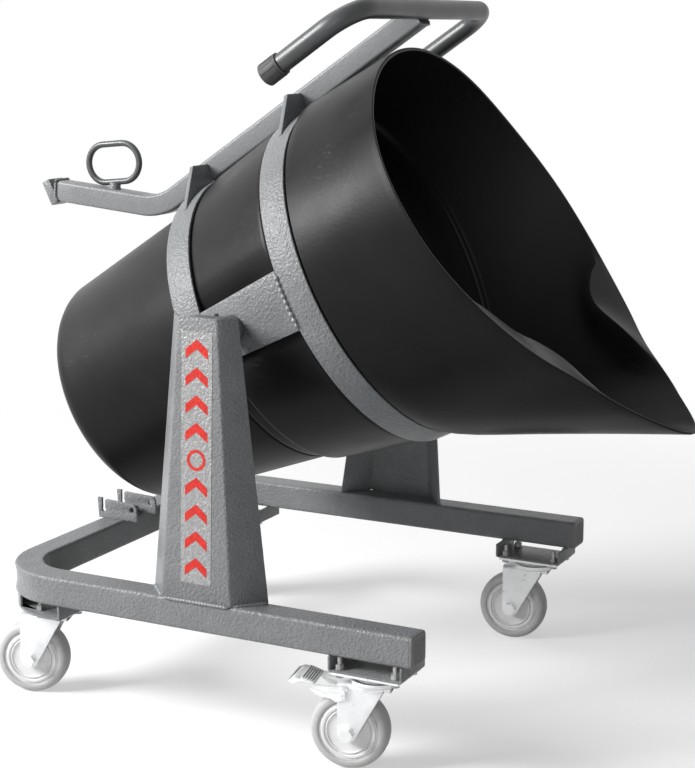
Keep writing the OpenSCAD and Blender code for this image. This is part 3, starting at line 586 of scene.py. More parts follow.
def solid(name, points, faces, finish, body, slot_name, sharp=38, round_off=0.0, steps=2,
          corner=50):
    """A closed mesh from points in mm; round_off bevels edges sharper than corner degrees."""
    work = bmesh.new()
    verts = [work.verts.new(Vector(p) * MM) for p in points]
    for face in faces:
        work.faces.new([verts[i] for i in face])
    bmesh.ops.remove_doubles(work, verts=work.verts, dist=1e-6)
    bmesh.ops.recalc_face_normals(work, faces=work.faces)
    if round_off:
        round_edges(work, round_off, steps, corner)
    mesh = bpy.data.meshes.new(name)
    work.to_mesh(mesh)
    work.free()
    return finish_object(name, mesh, finish, body, slot_name, sharp)


def round_edges(work, width, steps, corner):
    limit = math.radians(corner)
    edges = [e for e in work.edges if len(e.link_faces) == 2 and e.calc_face_angle(0) > limit]
    bmesh.ops.bevel(work, geom=edges, offset=width * MM, offset_type="OFFSET", segments=steps,
                    profile=0.5, affect="EDGES", clamp_overlap=True)


print("objects get smooth faces and sharp edges above an angle")

# %% Outlines and lofts


def loft(rings, closed=False, caps=True):
    """Points and faces of a row of rings; closed joins the last ring to the first."""
    size = len(rings[0])
    points = [p for ring in rings for p in ring]
    rows = len(rings)
    faces = []
    for row in range(rows if closed else rows - 1):
        a, b = row * size, ((row + 1) % rows) * size
        for i in range(size):
            j = (i + 1) % size
            faces.append((a + i, a + j, b + j, b + i))
    if caps and not closed:
        faces.append(tuple(range(size)))
        faces.append(tuple((rows - 1) * size + i for i in reversed(range(size))))
    return points, faces


def arc(cx, cy, radius, start, end, steps):
    return [(cx + radius * math.cos(math.radians(start + (end - start) * k / steps)),
             cy + radius * math.sin(math.radians(start + (end - start) * k / steps)))
            for k in range(steps + 1)]


def circle(radius, steps=28):
    return [(radius * math.cos(2 * math.pi * k / steps), radius * math.sin(2 * math.pi * k / steps))
            for k in range(steps)]


def soft_box(width, height, radius, steps=4):
    """Outline of a rectangle with round corners, counter-clockwise."""
    x, y = width / 2 - radius, height / 2 - radius
    return (arc(x, y, radius, 0, 90, steps) + arc(-x, y, radius, 90, 180, steps)
            + arc(-x, -y, radius, 180, 270, steps) + arc(x, -y, radius, 270, 360, steps))


def folded(corners, thick, radius, steps=5):
    """Outline of a sheet folded along the given outer corners, with its thickness to the left."""
    outer, inner = [], []
    last = len(corners) - 1
    for i, here in enumerate(corners):
        here = Vector(here)
        if i in (0, last):
            step = (Vector(corners[1]) - here) if i == 0 else (here - Vector(corners[last - 1]))
            side = Vector((-step.y, step.x)).normalized() * thick
            outer.append(here)
            inner.append(here + side)
            continue
        before = (here - Vector(corners[i - 1])).normalized()
        after = (Vector(corners[i + 1]) - here).normalized()
        turn = before.angle_signed(after)
        left = turn < 0
        reach = radius * abs(math.tan(turn / 2))
        normal = Vector((-before.y, before.x)) * (1 if left else -1)
        centre = here - before * reach + normal * radius
        for k in range(steps + 1):
            spin = -turn * k / steps
            ray = -normal
            ray = Vector((ray.x * math.cos(spin) - ray.y * math.sin(spin),
                          ray.x * math.sin(spin) + ray.y * math.cos(spin)))
            outer.append(centre + ray * radius)
            inner.append(centre + ray * (radius - thick if left else radius + thick))
    return [tuple(p) for p in outer] + [tuple(p) for p in reversed(inner)]


print("a soft box has", len(soft_box(10, 10, 2)), "points")

# %% Pieces along a path or about an axle


def along(path, outline, up, closed=False):
    """Rings of an outline (side, up) carried along a path of Vectors in mm."""
    rings, last = [], len(path) - 1
    for i, here in enumerate(path):
        if closed:
            step = path[(i + 1) % len(path)] - path[i - 1]
        else:
            step = path[min(i + 1, last)] - path[max(i - 1, 0)]
        step.normalize()
        side = step.cross(up).normalized()
        top = side.cross(step).normalized()
        shape = outline(i, here) if callable(outline) else outline
        rings.append([here + side * u + top * v for u, v in shape])
    return rings


def bar(name, path, outline, up, finish, body, slot_name, closed=False, **more):
    points, faces = loft(along(path, outline, up, closed), closed)
    return solid(name, points, faces, finish, body, slot_name, **more)


def turned(name, profile, centre, axle, finish, body, slot_name, steps=96, **more):
    """A closed profile of (radius, distance along the axle) turned once about the axle."""
    axle = Vector(axle).normalized()
    across = axle.orthogonal().normalized()
    third = axle.cross(across)
    rings = []
    for k in range(steps):
        a = 2 * math.pi * k / steps
        ray = across * math.cos(a) + third * math.sin(a)
        rings.append([Vector(centre) + ray * r + axle * d for r, d in profile])
    points, faces = loft(rings, closed=True)
    return solid(name, points, faces, finish, body, slot_name, **more)


print("a bar of two rings has", len(loft([circle(5)] * 2)[1]), "faces")

# %% Weld bead
BEAD_STEP = 1.3
BEAD_SIDES = circle(1.0, 8)
BEAD_UP = Vector((0.13, 0.31, 0.94)).normalized()


def weld(name, path, size, body, pitch=4.5, swell=0.16):
    """A weld bead: a round section that swells and shrinks along its path."""
    steps = []
    for a, b in zip(path, path[1:]):
        count = max(1, round((b - a).length / BEAD_STEP))
        steps += [a.lerp(b, k / count) for k in range(count)]
    steps.append(path[-1])
    run = [0.0]
    for a, b in zip(steps, steps[1:]):
        run.append(run[-1] + (b - a).length)
    total = run[-1]

    def section(i, here):
        fade = min(1.0, 0.35 + min(run[i], total - run[i]) / (2.5 * size))
        radius = size * fade * (1 + swell * math.sin(2 * math.pi * run[i] / pitch))
        return [(radius * u, radius * v) for u, v in BEAD_SIDES]

    return bar(name, steps, section, BEAD_UP, weld_paint, body, "frame_paint", sharp=80)


print("a bead is drawn every", BEAD_STEP, "mm")

# %% [markdown]
# ## Carrying a CAD solid over with soft edges
# Stamped and machined parts have the right shape in CAD, but razor edges catch
# no light. A copy of the node's mesh is welded, its long edges get a narrow
# bevel, and the copy then stands for the node.

# %% Carry-over helper
FLAT_ANGLE = math.radians(0.4)


def body_of(node):
    return frame["nodes"][node]["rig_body"]


def carried(node, finish, slot_name, width=0.5, corner=32, steps=2, sharp=30):
    source = frame["nodes"][node].data
    work = bmesh.new()
    work.from_mesh(source)
    bmesh.ops.remove_doubles(work, verts=work.verts, dist=2e-6)
    bmesh.ops.dissolve_degenerate(work, edges=work.edges, dist=1e-6)
    bmesh.ops.dissolve_limit(work, angle_limit=FLAT_ANGLE, verts=work.verts, edges=work.edges)
    bmesh.ops.recalc_face_normals(work, faces=work.faces)
    if width:
        round_edges(work, width, steps, corner)
    mesh = bpy.data.meshes.new(node + "_dressed")
    work.to_mesh(mesh)
    work.free()
    thing = finish_object(node + "_dressed", mesh, finish, body_of(node), slot_name, sharp)
    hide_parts(node)
    return thing


print("CAD nodes to stand for:", len(frame["nodes"]))

# %% [markdown]
# ## Places that all pieces share
# The cradle is drawn in its own frame: a station `s` along the tub axis, an
# angle `p` counted from the spine, and a radius. The handle's frame follows the
# spine. These functions turn such numbers into points of the cart.

# %% Shared places
PIVOT = Vector((-49, 0, 526))
AXIS = Vector((math.cos(TUB_LEAN), 0, math.sin(TUB_LEAN)))
RISE = Vector((-math.sin(TUB_LEAN), 0, math.cos(TUB_LEAN)))
FAR = Vector((0, 1, 0))
UP = Vector((0, 0, 1))
SIDES = ((-1, "near"), (1, "far"))

FRONT_HOOP_R, REAR_HOOP_R = 234.0, 211.0
HOOP_WIDTH, HOOP_THICK = 38.0, 4.0
FRONT_HOOP_S, REAR_HOOP_S = 115.0, -61.0
HOOP_BACK = FRONT_HOOP_S - HOOP_WIDTH / 2
HOOP_FRONT = FRONT_HOOP_S + HOOP_WIDTH / 2
REAR_BACK = REAR_HOOP_S - HOOP_WIDTH / 2
REAR_FRONT = REAR_HOOP_S + HOOP_WIDTH / 2
SPINE_LEAN = math.atan((FRONT_HOOP_R - REAR_HOOP_R) / (HOOP_BACK - REAR_BACK))
SPINE_SIDE, SEAT = 30.0, 0.2


def tub_point(s, p, r):
    a = math.radians(p)
    return PIVOT + AXIS * s + RISE * (r * math.cos(a)) + FAR * (r * math.sin(a))


SPINE_ALONG = (AXIS * math.cos(SPINE_LEAN) + RISE * math.sin(SPINE_LEAN))
SPINE_UP = (RISE * math.cos(SPINE_LEAN) - AXIS * math.sin(SPINE_LEAN))
SPINE_START = PIVOT + AXIS * HOOP_BACK + RISE * FRONT_HOOP_R + SPINE_UP * (SPINE_SIDE / 2 + SEAT)


def spine_point(x, y=0.0, z=0.0):
    return SPINE_START + SPINE_ALONG * x + FAR * y + SPINE_UP * z


ARM_BEND = math.radians(39.3)
BEND_AT, SPINE_BEND_R, ARM_LENGTH = -256.0, 85.0, 179.0
ARM_ALONG = SPINE_ALONG * math.cos(ARM_BEND) - SPINE_UP * math.sin(ARM_BEND)
ARM_UP = SPINE_UP * math.cos(ARM_BEND) + SPINE_ALONG * math.sin(ARM_BEND)


def arm_point(x, y=0.0, z=0.0):
    return spine_point(BEND_AT) + ARM_ALONG * x + FAR * y + ARM_UP * z


print("spine leans", round(math.degrees(SPINE_LEAN), 2), "degrees from the tub axis")

# %% [markdown]
# ## Tub
# The real tub is one moulded shell of black rubbery plastic. It could be a
# subdivided cage, but its mouth runs from a half circle to a drawn spout, so
# rings whose radius and station depend on the angle describe it exactly. The
# outside, the rounded lip and the inside are one closed surface. Inside, two
# folds lie beside the spout, each a shelf that starts and ends at the rim, and a
# bead runs round the wall where the mouth begins to flare.

# %% Tub profile
RIM_AT = [0, 30, 60, 90, 115, 135, 150, 165, 180]
RIM_S = [283, 282, 285, 303, 325, 347, 367, 399, 427]
RIM_R = [246.5, 248, 248, 248.5, 247, 255, 268, 311, 351]
FOLD_AT = [108, 114, 120, 126, 132, 138, 144, 150, 156, 159]
FOLD_IN = [0, 7.4, 26, 38, 44.5, 46.2, 43.5, 31, 8, 0]
FOLD_DOWN = [0, 3.3, 12.9, 20.4, 26.3, 28, 23, 13.5, 4.9, 0]
TUB_BACK, TUB_END_R, TUB_ROUND, TUB_WALL = -341.0, 165.0, 32.0, 4.5
GROOVE_S, MIDDLE_S = -61.0, 20.0
TUB_FRONT_R, TUB_REAR_R = FRONT_HOOP_R - 7, REAR_HOOP_R - 13
TUB_MIDDLE_R = (TUB_FRONT_R + TUB_REAR_R) / 2 - 5
print("mouth from", RIM_R[0], "to", RIM_R[-1], "mm from the axis")

# %% [markdown]
# The wall is a plain line from station to station, with three swells on it. It
# rises under the spine, it swells beside the hoops as a soft tub does when a band
# holds it, and the mouth drops quickly in front of the hoop.

# %% Curves of the rim


def curve_through(xs, ys, x):
    """A smooth curve through a table, level at both ends."""
    if x <= xs[0] or x >= xs[-1]:
        return ys[0] if x <= xs[0] else ys[-1]
    i = max(k for k in range(len(xs) - 1) if xs[k] <= x)
    width = xs[i + 1] - xs[i]

    def slope(k):
        if k in (0, len(xs) - 1):
            return 0.0
        return (ys[k + 1] - ys[k - 1]) / (xs[k + 1] - xs[k - 1])

    t = (x - xs[i]) / width
    return (ys[i] * (2 * t**3 - 3 * t**2 + 1) + slope(i) * width * (t**3 - 2 * t**2 + t)
            + ys[i + 1] * (3 * t**2 - 2 * t**3) + slope(i + 1) * width * (t**3 - t**2))


def ease(t):
    t = max(0.0, min(1.0, t))
    return t * t * (3 - 2 * t)


def mirrored(p):
    p = p % 360
    return 360 - p if p > 180 else p


def rim_station(p):
    return curve_through(RIM_AT, RIM_S, mirrored(p))


def rim_radius(p):
    return curve_through(RIM_AT, RIM_R, mirrored(p))


def mouth_share(s, p):
    """0 at the front hoop and 1 at the rim."""
    return (s - HOOP_FRONT) / (rim_station(p) - HOOP_FRONT)


print("rim between spine and spout, at 90 degrees:", round(rim_station(90)), "mm along the axis")

# %% Tub wall
SPINE_CLEAR, SPINE_SINK, MOUTH_RISE = 1.5, 3.5, 8.0


def under_spine(s, p):
    """How far the wall rises towards the spine: only near the top, and not under the hoops."""
    near = 1 - ease((mirrored(p) - 14) / 46)
    room = FRONT_HOOP_R + (s - HOOP_BACK) * math.tan(SPINE_LEAN) - SPINE_CLEAR - wall_line(s, p)
    if REAR_FRONT < s < HOOP_BACK:
        room -= SPINE_SINK * (HOOP_BACK - s) / (HOOP_BACK - REAR_HOOP_S)
        return near * room * ease((s - REAR_FRONT) / 18) * ease((HOOP_BACK - s) / 16)
    if s > HOOP_FRONT:
        level = ease((s - HOOP_FRONT) / 12) * (1 - mouth_share(s, p)**2)
        return near * min(MOUTH_RISE, room) * level
    return 0.0


SWELL_REAR_R, SWELL_FRONT_R, SIDE_DROP = 208.0, 231.0, 2.5
MOUTH_SWELL = 5.5


def beside_hoops(s, p):
    """How far the soft outside swells next to a hoop, so that only a thin gap shows there."""
    if REAR_FRONT < s < HOOP_BACK:
        from_side = abs(mirrored(p) - 90)
        along_gap = (s - REAR_FRONT) / (HOOP_BACK - REAR_FRONT)
        swollen = SWELL_REAR_R + (SWELL_FRONT_R - SWELL_REAR_R) * along_gap
        swollen -= SIDE_DROP * (1 - ease((from_side - 12) / 8))
        level = ease((s - REAR_FRONT) / 4) * ease((HOOP_BACK - s) / 4) * ease((from_side - 9) / 5)
        return max(0.0, swollen - wall_radius(s, p)) * level
    if s > HOOP_FRONT:
        fade = max(0.0, 1 - mouth_share(s, p)) ** 3
        return MOUTH_SWELL * ease((s - HOOP_FRONT + 0.5) / 3.5) * fade
    return 0.0


MOUTH_DROP = 10.5


def low_swell(s, p):
    """The mouth drops quickly in front of the hoop and then runs almost straight to the spout."""
    share = mouth_share(s, p)
    if share <= 0:
        return 0.0
    return MOUTH_DROP * ease((mirrored(p) - 100) / 55) * (1 - share) * (1 - math.exp(-share / 0.07))


def wall_radius(s, p):
    return wall_line(s, p) + under_spine(s, p) + low_swell(s, p)


def between(s, s0, r0, s1, r1):
    return r0 + (r1 - r0) * (s - s0) / (s1 - s0)


def wall_line(s, p):
    """Radius of the plain wall before anything swells."""
    if s < GROOVE_S:
        return between(s, TUB_BACK, TUB_END_R, GROOVE_S, TUB_REAR_R)
    if s < MIDDLE_S:
        return between(s, GROOVE_S, TUB_REAR_R, MIDDLE_S, TUB_MIDDLE_R)
    if s < HOOP_BACK:
        return between(s, MIDDLE_S, TUB_MIDDLE_R, HOOP_BACK, TUB_FRONT_R - 1)
    if s < HOOP_FRONT:
        return between(s, HOOP_BACK, TUB_FRONT_R - 1, HOOP_FRONT, TUB_FRONT_R)
    return TUB_FRONT_R + (rim_radius(p) - TUB_FRONT_R) * mouth_share(s, p)


print("wall at the pivot:", round(wall_radius(0, 45), 1), "mm from the axis")

# %% Outside of the tub
AROUND, MOUTH_ROWS, TURN_ROWS = 180, 16, 8
ANGLES = [360 * k / AROUND for k in range(AROUND)]
GROOVE_CUTS = {-66: 0, -63.5: 0.3, -62.5: 1.7, -61.5: 2.4,
               -60.5: 2.4, -59.5: 1.7, -58.5: 0.3, -56: 0}
BACK_ROWS = [-290, -250, -210, -170, -130, -95]
GAP_ROWS = [-42, -40.5, -39, -37.5, -34, -30, -24, -10, 10, 30, 50, 70, 80, 86, 91, 93, 94.5, 96]
HOOP_ROWS = [115, 133.5, 134.5, 135.5, 137, 139]


def tub_ring(s, radius_at):
    return [tub_point(s, p, radius_at(p)) for p in ANGLES]


def end_rings(skin):
    """The rounded closed end, outside with skin 0 and inside with the wall's thickness."""
    rings = []
    turn = TUB_ROUND - skin
    for k in range(1, TURN_ROWS + 1):
        a = math.radians(90 * k / TURN_ROWS)
        s = TUB_BACK + skin + turn * (1 - math.cos(a))
        r = TUB_END_R - TUB_ROUND + turn * math.sin(a)
        r += (wall_radius(TUB_BACK + TUB_ROUND, 0) - TUB_END_R) * math.sin(a)
        rings.append(tub_ring(s, lambda p: r))
    return rings


def outside_radius(s, p):
    return wall_radius(s, p) + beside_hoops(s, p)


def outer_rings():
    """Outside of the tub from the closed end to the rim."""
    rings = end_rings(0)
    for s in BACK_ROWS + sorted(GROOVE_CUTS) + GAP_ROWS + HOOP_ROWS:
        rings.append(tub_ring(s, lambda p: outside_radius(s, p) - GROOVE_CUTS.get(s, 0)))
    for k in range(1, MOUTH_ROWS + 1):
        ring = []
        for p in ANGLES:
            s = HOOP_FRONT + (rim_station(p) - 1.5 - HOOP_FRONT) * k / MOUTH_ROWS
            ring.append(tub_point(s, p, outside_radius(s, p)))
        rings.append(ring)
    return rings


LIP_STEPS = ((0.35, 0.5), (1.2, 0.05), (2.2, 0), (3.3, 0.05), (4.1, 0.5))


def lip_rings():
    """The rim rounded over from outside to inside."""
    return [[tub_point(rim_station(p) - back, p, rim_radius(p) - out) for p in ANGLES]
            for out, back in LIP_STEPS]


outside = outer_rings() + lip_rings()
print("outside and lip:", len(outside), "rings")

# %% Inside of the tub with folds and bead
FOLD_SHARES = (0.16, 0.34, 0.52, 0.7, 0.84, 0.93, 1.0)
BELOW_FOLD = (1.2, 3, 6, 10, 15, 21, 28, 36, 45)
MOUTH_SHARES = (0.12, 0.25, 0.4, 0.55, 0.7, 0.85, 1.0)
BEAD_ROWS = (151, 149, 147.5, 146.2, 145, 143.6, 142.2, 141, 139.8, 138.5, 137.2, 136, 134.5, 132)
DEEP_ROWS = (115, 96, 91, 86, 80, 70, 50, 30, 10, -10, -24, -30, -36, -42, -61, -100, -140, -190,
             -240, -280)
LEAST_FOLD, BELOW_REACH, BEAD_TOP = 5.0, 45, 156


def fold_shape(p):
    q = mirrored(p)
    return curve_through(FOLD_AT, FOLD_IN, q), curve_through(FOLD_AT, FOLD_DOWN, q)


def fold_depth(p):
    return max(fold_shape(p)[1], LEAST_FOLD)


def inner_point(p, down):
    """A point of the inside wall, `down` mm below the rim along the tub."""
    inward, depth = fold_shape(p)[0], fold_depth(p)
    if down < depth:
        t = down / depth
        push = inward * (0.93 * t + 0.07 * math.sin(math.pi * t / 2))
    else:
        push = inward * (1 - ease((down - depth) / (BELOW_REACH - 1)))
    s = rim_station(p) - down
    return tub_point(s, p, wall_radius(s, p) - TUB_WALL - push)


def bead(s, p):
    """Two fine ridges of the bead inside the mouth, flatter towards the spine."""
    high = 0.1 + 0.9 * ease((mirrored(p) - 60) / 40)
    low_ridge = 1.4 * math.exp(-((s - 138.5) / 1.6) ** 2)
    high_ridge = 1.1 * math.exp(-((s - 145.5) / 1.8) ** 2)
    return high * (low_ridge + high_ridge)


def inner_rings():
    """Inside of the tub from the rim to the closed end."""
    rings = []
    for share in FOLD_SHARES:
        rings.append([inner_point(p, fold_depth(p) * share) for p in ANGLES])
    for extra in BELOW_FOLD:
        rings.append([inner_point(p, fold_depth(p) + extra) for p in ANGLES])
    for share in MOUTH_SHARES:
        ring = []
        for p in ANGLES:
            high = rim_station(p) - fold_depth(p) - BELOW_REACH
            s = high + (BEAD_TOP - high) * share
            ring.append(tub_point(s, p, wall_radius(s, p) - TUB_WALL))
        rings.append(ring)
    for s in BEAD_ROWS:
        rings.append(tub_ring(s, lambda p: wall_radius(s, p) - TUB_WALL - bead(s, p)))
    for s in DEEP_ROWS:
        rings.append(tub_ring(s, lambda p: wall_radius(s, p) - TUB_WALL))
    return rings + list(reversed(end_rings(TUB_WALL)))


inside = inner_rings()
print("inside:", len(inside), "rings")

# %% Tub mesh


def build_tub():
    rings = outside + inside
    points, faces = loft(rings, caps=False)
    last_row = (len(rings) - 1) * AROUND
    outside_centre, inside_centre = len(points), len(points) + 1
    points += [tub_point(TUB_BACK, 0, 0), tub_point(TUB_BACK + TUB_WALL, 0, 0)]
    for i in range(AROUND):
        j = (i + 1) % AROUND
        faces.append((outside_centre, j, i))
        faces.append((inside_centre, last_row + i, last_row + j))
    return solid("tub", points, faces, tub_plastic, "cradle", "tub_plastic", sharp=50)


tub = build_tub()
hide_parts("tub_shell")
print("tub:", len(tub.data.polygons), "faces")

# %% [markdown]
# ## Hoops, side plates and liners
# The cradle is flat bar rolled to a hoop and a half hoop, with a rolled side
# plate welded between them on each side. All are bands: a small outline in
# radius and station, carried round part of a circle.

# %% Cradle bands


def band(name, outline, start, end, finish, body, slot_name, **more):
    whole = abs(end - start) >= 360
    steps = round(abs(end - start) / 2)
    rings = []
    for k in range(steps if whole else steps + 1):
        p = start + (end - start) * k / steps
        rings.append([tub_point(s, p, r) for r, s in outline])
    points, faces = loft(rings, closed=whole)
    return solid(name, points, faces, finish, body, slot_name, **more)


def bar_outline(outer, width, thick, middle):
    return [(outer - thick / 2 + u, middle + v) for u, v in soft_box(thick, width, 1.1, 3)]


SIDE_PLATE = 80.0
SIDE_HALF = math.degrees(math.asin(SIDE_PLATE / 2 / FRONT_HOOP_R))
HALF_TURN = 90 + SIDE_HALF
bar_shape = bar_outline(FRONT_HOOP_R, HOOP_WIDTH, HOOP_THICK, FRONT_HOOP_S)
front_hoop = band("front_hoop_bar", bar_shape, 0, 360, frame_paint, "cradle", "frame_paint")
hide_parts("front_hoop")
bar_shape = bar_outline(REAR_HOOP_R, HOOP_WIDTH, HOOP_THICK, REAR_HOOP_S)
rear_hoop = band("rear_hoop_bar", bar_shape, -HALF_TURN, HALF_TURN, frame_paint, "cradle",
                 "frame_paint", round_off=0.5)
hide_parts("rear_hoop")
print("hoops; a side plate takes", round(2 * SIDE_HALF, 1), "degrees")

# %% Side plates, liners and screws
SEAM_SIZE, SEAM_PITCH, SEAM_SWELL = 2.5, 8, 0.4
for side, name in SIDES:
    sheet_outline = [(REAR_HOOP_R - HOOP_THICK, REAR_FRONT), (REAR_HOOP_R, REAR_FRONT),
                     (FRONT_HOOP_R, HOOP_BACK), (FRONT_HOOP_R - HOOP_THICK, HOOP_BACK)]
    wing = band(f"side_{name}_plate", sheet_outline, side * 90 - SIDE_HALF, side * 90 + SIDE_HALF,
                frame_paint, "cradle", "frame_paint", round_off=0.7)
    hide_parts(f"side_{name}")
    for s, r, tag in ((HOOP_BACK, FRONT_HOOP_R, "front"), (REAR_FRONT, REAR_HOOP_R, "rear")):
        seam = [tub_point(s, side * 90 + (SIDE_HALF - 1) * (k / 6 - 1), r + 0.6) for k in range(13)]
        weld(f"weld_side_{name}_{tag}", seam, SEAM_SIZE, "cradle", pitch=SEAM_PITCH,
             swell=SEAM_SWELL)
carried("liners", pad_rubber, "pad_rubber", width=0)
carried("tub_screws", bolt_steel_and_shade, "zinc", width=0.4)
print("side plates with their seams, liners and screws")

# %% [markdown]
# ## Spine and latch arm
# One square tube runs on top of the hoops and bends down to the latch arm at the
# back. CAD facets show on a bend, so the tube is carried along its centre line in
# fine steps. Its inner side puckers a little where the square tube is bent.

# %% Spine tube


def bend_points(corner, before, after, radius, steps=24):
    """Points of a fillet of the given radius at a corner, directions are unit Vectors."""
    turn = before.angle(after)
    reach = radius * math.tan(turn / 2)
    start = corner - before * reach
    normal = (after - before * before.dot(after)).normalized()
    centre = start + normal * radius
    rays = [turn * k / steps for k in range(steps + 1)]
    return [centre - normal * (radius * math.cos(a)) + before * (radius * math.sin(a))
            for a in rays], centre


HANDLE_TUBE, SPINE_REACH = 25.4, 326
SPINE_END = (SPINE_REACH - HOOP_BACK) / math.cos(SPINE_LEAN) - HANDLE_TUBE / 2 - SEAT
spine_bend, spine_bend_centre = bend_points(
    spine_point(BEND_AT), -SPINE_ALONG, -ARM_ALONG, SPINE_BEND_R)
spine_path = [spine_point(SPINE_END * (1 - k / 8) + (BEND_AT + 35) * k / 8) for k in range(8)]
spine_path += spine_bend
spine_path += [arm_point(-40 - (ARM_LENGTH - 42) * k / 4) for k in range(5)]


def spine_section(i, here):
    """Rounded square, slightly drawn in on the inner side of the bend."""
    reach = (here - spine_bend_centre).length
    inside = 1.0 if abs(reach - SPINE_BEND_R) < 0.5 else 0.0
    outline = []
    for u, v in soft_box(SPINE_SIDE, SPINE_SIDE, 4.5, 5):
        if v > 10 and inside:
            v -= 0.9 * (1 - abs(u) / 15)
        outline.append((u, v))
    return outline


spine_bar = bar("spine_bar", spine_path, spine_section, UP, tube_paint, "cradle", "frame_paint",
                round_off=0.4, corner=70)
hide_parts("spine_arm")
carried("arm_foot", frame_paint, "frame_paint", width=1.2)
carried("lugs", tube_paint, "frame_paint", width=0.8)
EDGE, FLAT = SPINE_SIDE / 2 + 0.6, SPINE_SIDE / 2 - 1
foot_ring = ((-EDGE, -FLAT), (-EDGE, FLAT), (-FLAT, EDGE), (FLAT, EDGE),
             (EDGE, FLAT), (EDGE, -FLAT), (FLAT, -EDGE), (-FLAT, -EDGE))
foot_box = [arm_point(-ARM_LENGTH + 1.5, y, z) for y, z in foot_ring]
weld("weld_arm_foot", foot_box + [foot_box[0]], 1.9, "cradle")
print("spine path:", len(spine_path), "rings")

# %% [markdown]
# ## Handle and pull ring
# Both are bent round bar. The handle's two legs end in ribbed end caps, which
# come straight from CAD with softened ribs.

# %% Handle
HANDLE_HALF, HANDLE_REACH, HANDLE_BEND = 417 / 2, 145.0, 45.0
HANDLE_X = SPINE_END + HANDLE_TUBE / 2 + SEAT
LEG_START = HANDLE_X - HANDLE_REACH + 6


def handle_path():
    near, _ = bend_points(spine_point(HANDLE_X, -HANDLE_HALF), SPINE_ALONG, FAR, HANDLE_BEND, 18)
    far, _ = bend_points(spine_point(HANDLE_X, HANDLE_HALF), FAR, -SPINE_ALONG, HANDLE_BEND, 18)
    path = [spine_point(LEG_START + 8 * k, -HANDLE_HALF) for k in range(4)]
    path += near + [spine_point(HANDLE_X, y) for y in (-110, -60, 0, 60, 110)] + far
    return path + [spine_point(LEG_START + 8 * k, HANDLE_HALF) for k in (3, 2, 1, 0)]


handle = bar("handle_bar", handle_path(), circle(HANDLE_TUBE / 2), SPINE_UP, handle_paint,
             "cradle", "handle_paint", sharp=60)
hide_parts("handle_tube")
for name in ("cap_near", "cap_far"):
    carried(name, grip_rubber, "grip_rubber", width=0.5)
joint_ring = [spine_point(SPINE_END + 0.5, y, z) for y, z in soft_box(29, 29, 5, 4)]
weld("weld_handle", joint_ring + [joint_ring[0]], 1.8, "cradle")
print("handle with two caps")

# %% Pull ring
RING_WIDTH, RING_HEIGHT, RING_ROD = 95.0, 63.0, 9.0
RING_LEAN = math.radians(11)
RING_ALONG = ARM_ALONG * math.cos(RING_LEAN) + ARM_UP * math.sin(RING_LEAN)
RING_UP = ARM_UP * math.cos(RING_LEAN) - ARM_ALONG * math.sin(RING_LEAN)
STUB_AT, STUB_FOOT = -ARM_LENGTH + 90, SPINE_SIDE / 2 + SEAT
ring_centre = arm_point(STUB_AT, 0, STUB_FOOT + RING_HEIGHT / 2 + 4.6)
half_flat, bend_r = (RING_WIDTH - RING_HEIGHT) / 2, (RING_HEIGHT - RING_ROD) / 2
ring_outline = arc(half_flat, 0, bend_r, -90, 90, 20) + arc(-half_flat, 0, bend_r, 90, 270, 20)
ring_path = [ring_centre + RING_ALONG * u + RING_UP * v for u, v in ring_outline]
pull = bar("ring_bar", ring_path, circle(RING_ROD / 2, 18), FAR, handle_paint, "cradle",
           "handle_paint", closed=True, sharp=60)
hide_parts("pull_ring")
stub_profile = [(0.01, 0), (9.2, 0), (8.6, 1.2), (8, 3), (8, 7.6), (7.4, 8.6), (6.4, 9), (0.01, 9)]
turned("ring_stub", stub_profile, arm_point(STUB_AT + 4, 0, STUB_FOOT), ARM_UP,
       frame_paint, "cradle", "frame_paint", steps=40)
print("ring of", RING_ROD, "mm rod on its stub")

# %% [markdown]
# ## Base frame
# The base is one square tube bent twice. On the inner side of each bend the wall
# has nowhere to go and creases, so those rings carry three shallow press marks.
# The outer wall, which is stretched, sinks in a little between its two corners.

# %% Base path
FRONT_X, REAR_X, RAIL_Y, RAIL_Z = 238.0, -392.0, 280.0, 148.0
TUBE, BASE_WALL, BASE_BEND = 40.0, 3, 80.0
RAIL_MID = RAIL_Z + TUBE / 2
REAR_MID = REAR_X + TUBE / 2
FORWARD = Vector((1, 0, 0))


def base_path():
    near_corner = Vector((REAR_MID, -RAIL_Y, RAIL_MID))
    far_corner = Vector((REAR_MID, RAIL_Y, RAIL_MID))
    near, near_centre = bend_points(near_corner, -FORWARD, FAR, BASE_BEND, 30)
    far, far_centre = bend_points(far_corner, FAR, FORWARD, BASE_BEND, 30)
    path = [Vector((FRONT_X - k * 100, -RAIL_Y, RAIL_MID)) for k in range(5)] + near
    path += [Vector((REAR_MID, y, RAIL_MID)) for y in (-120, -40, 40, 120)] + far
    path += [Vector((FRONT_X - k * 100, RAIL_Y, RAIL_MID)) for k in (4, 3, 2, 1, 0)]
    return path, (near_centre, far_centre)


base_line, bend_centres = base_path()
print("base path:", len(base_line), "rings")

# %% Base tube with its press marks
CREASE_DEPTH, HOLLOW_DEPTH = 4.0, 2.6


def press_marks(here):
    """Depth of the three creases inside a bend, and of the smooth hollow outside it."""
    for centre in bend_centres:
        ray = here - centre
        if abs(ray.length - BASE_BEND) < 0.5:
            turn = math.atan2(abs(ray.y), abs(ray.x))
            rise = math.sin(2 * turn)
            waves = 0.55 + 0.45 * math.cos(12 * turn)
            return CREASE_DEPTH * rise * waves, HOLLOW_DEPTH * rise
    return 0.0, 0.0


def with_mid_points(outline, longest=10.0):
    """The same outline with its long straight runs divided in six."""
    dense = []
    for i, here in enumerate(outline):
        after = outline[(i + 1) % len(outline)]
        count = 6 if math.dist(here, after) > longest else 1
        a, b = Vector(here), Vector(after)
        dense += [tuple(a.lerp(b, k / count)) for k in range(count)]
    return dense


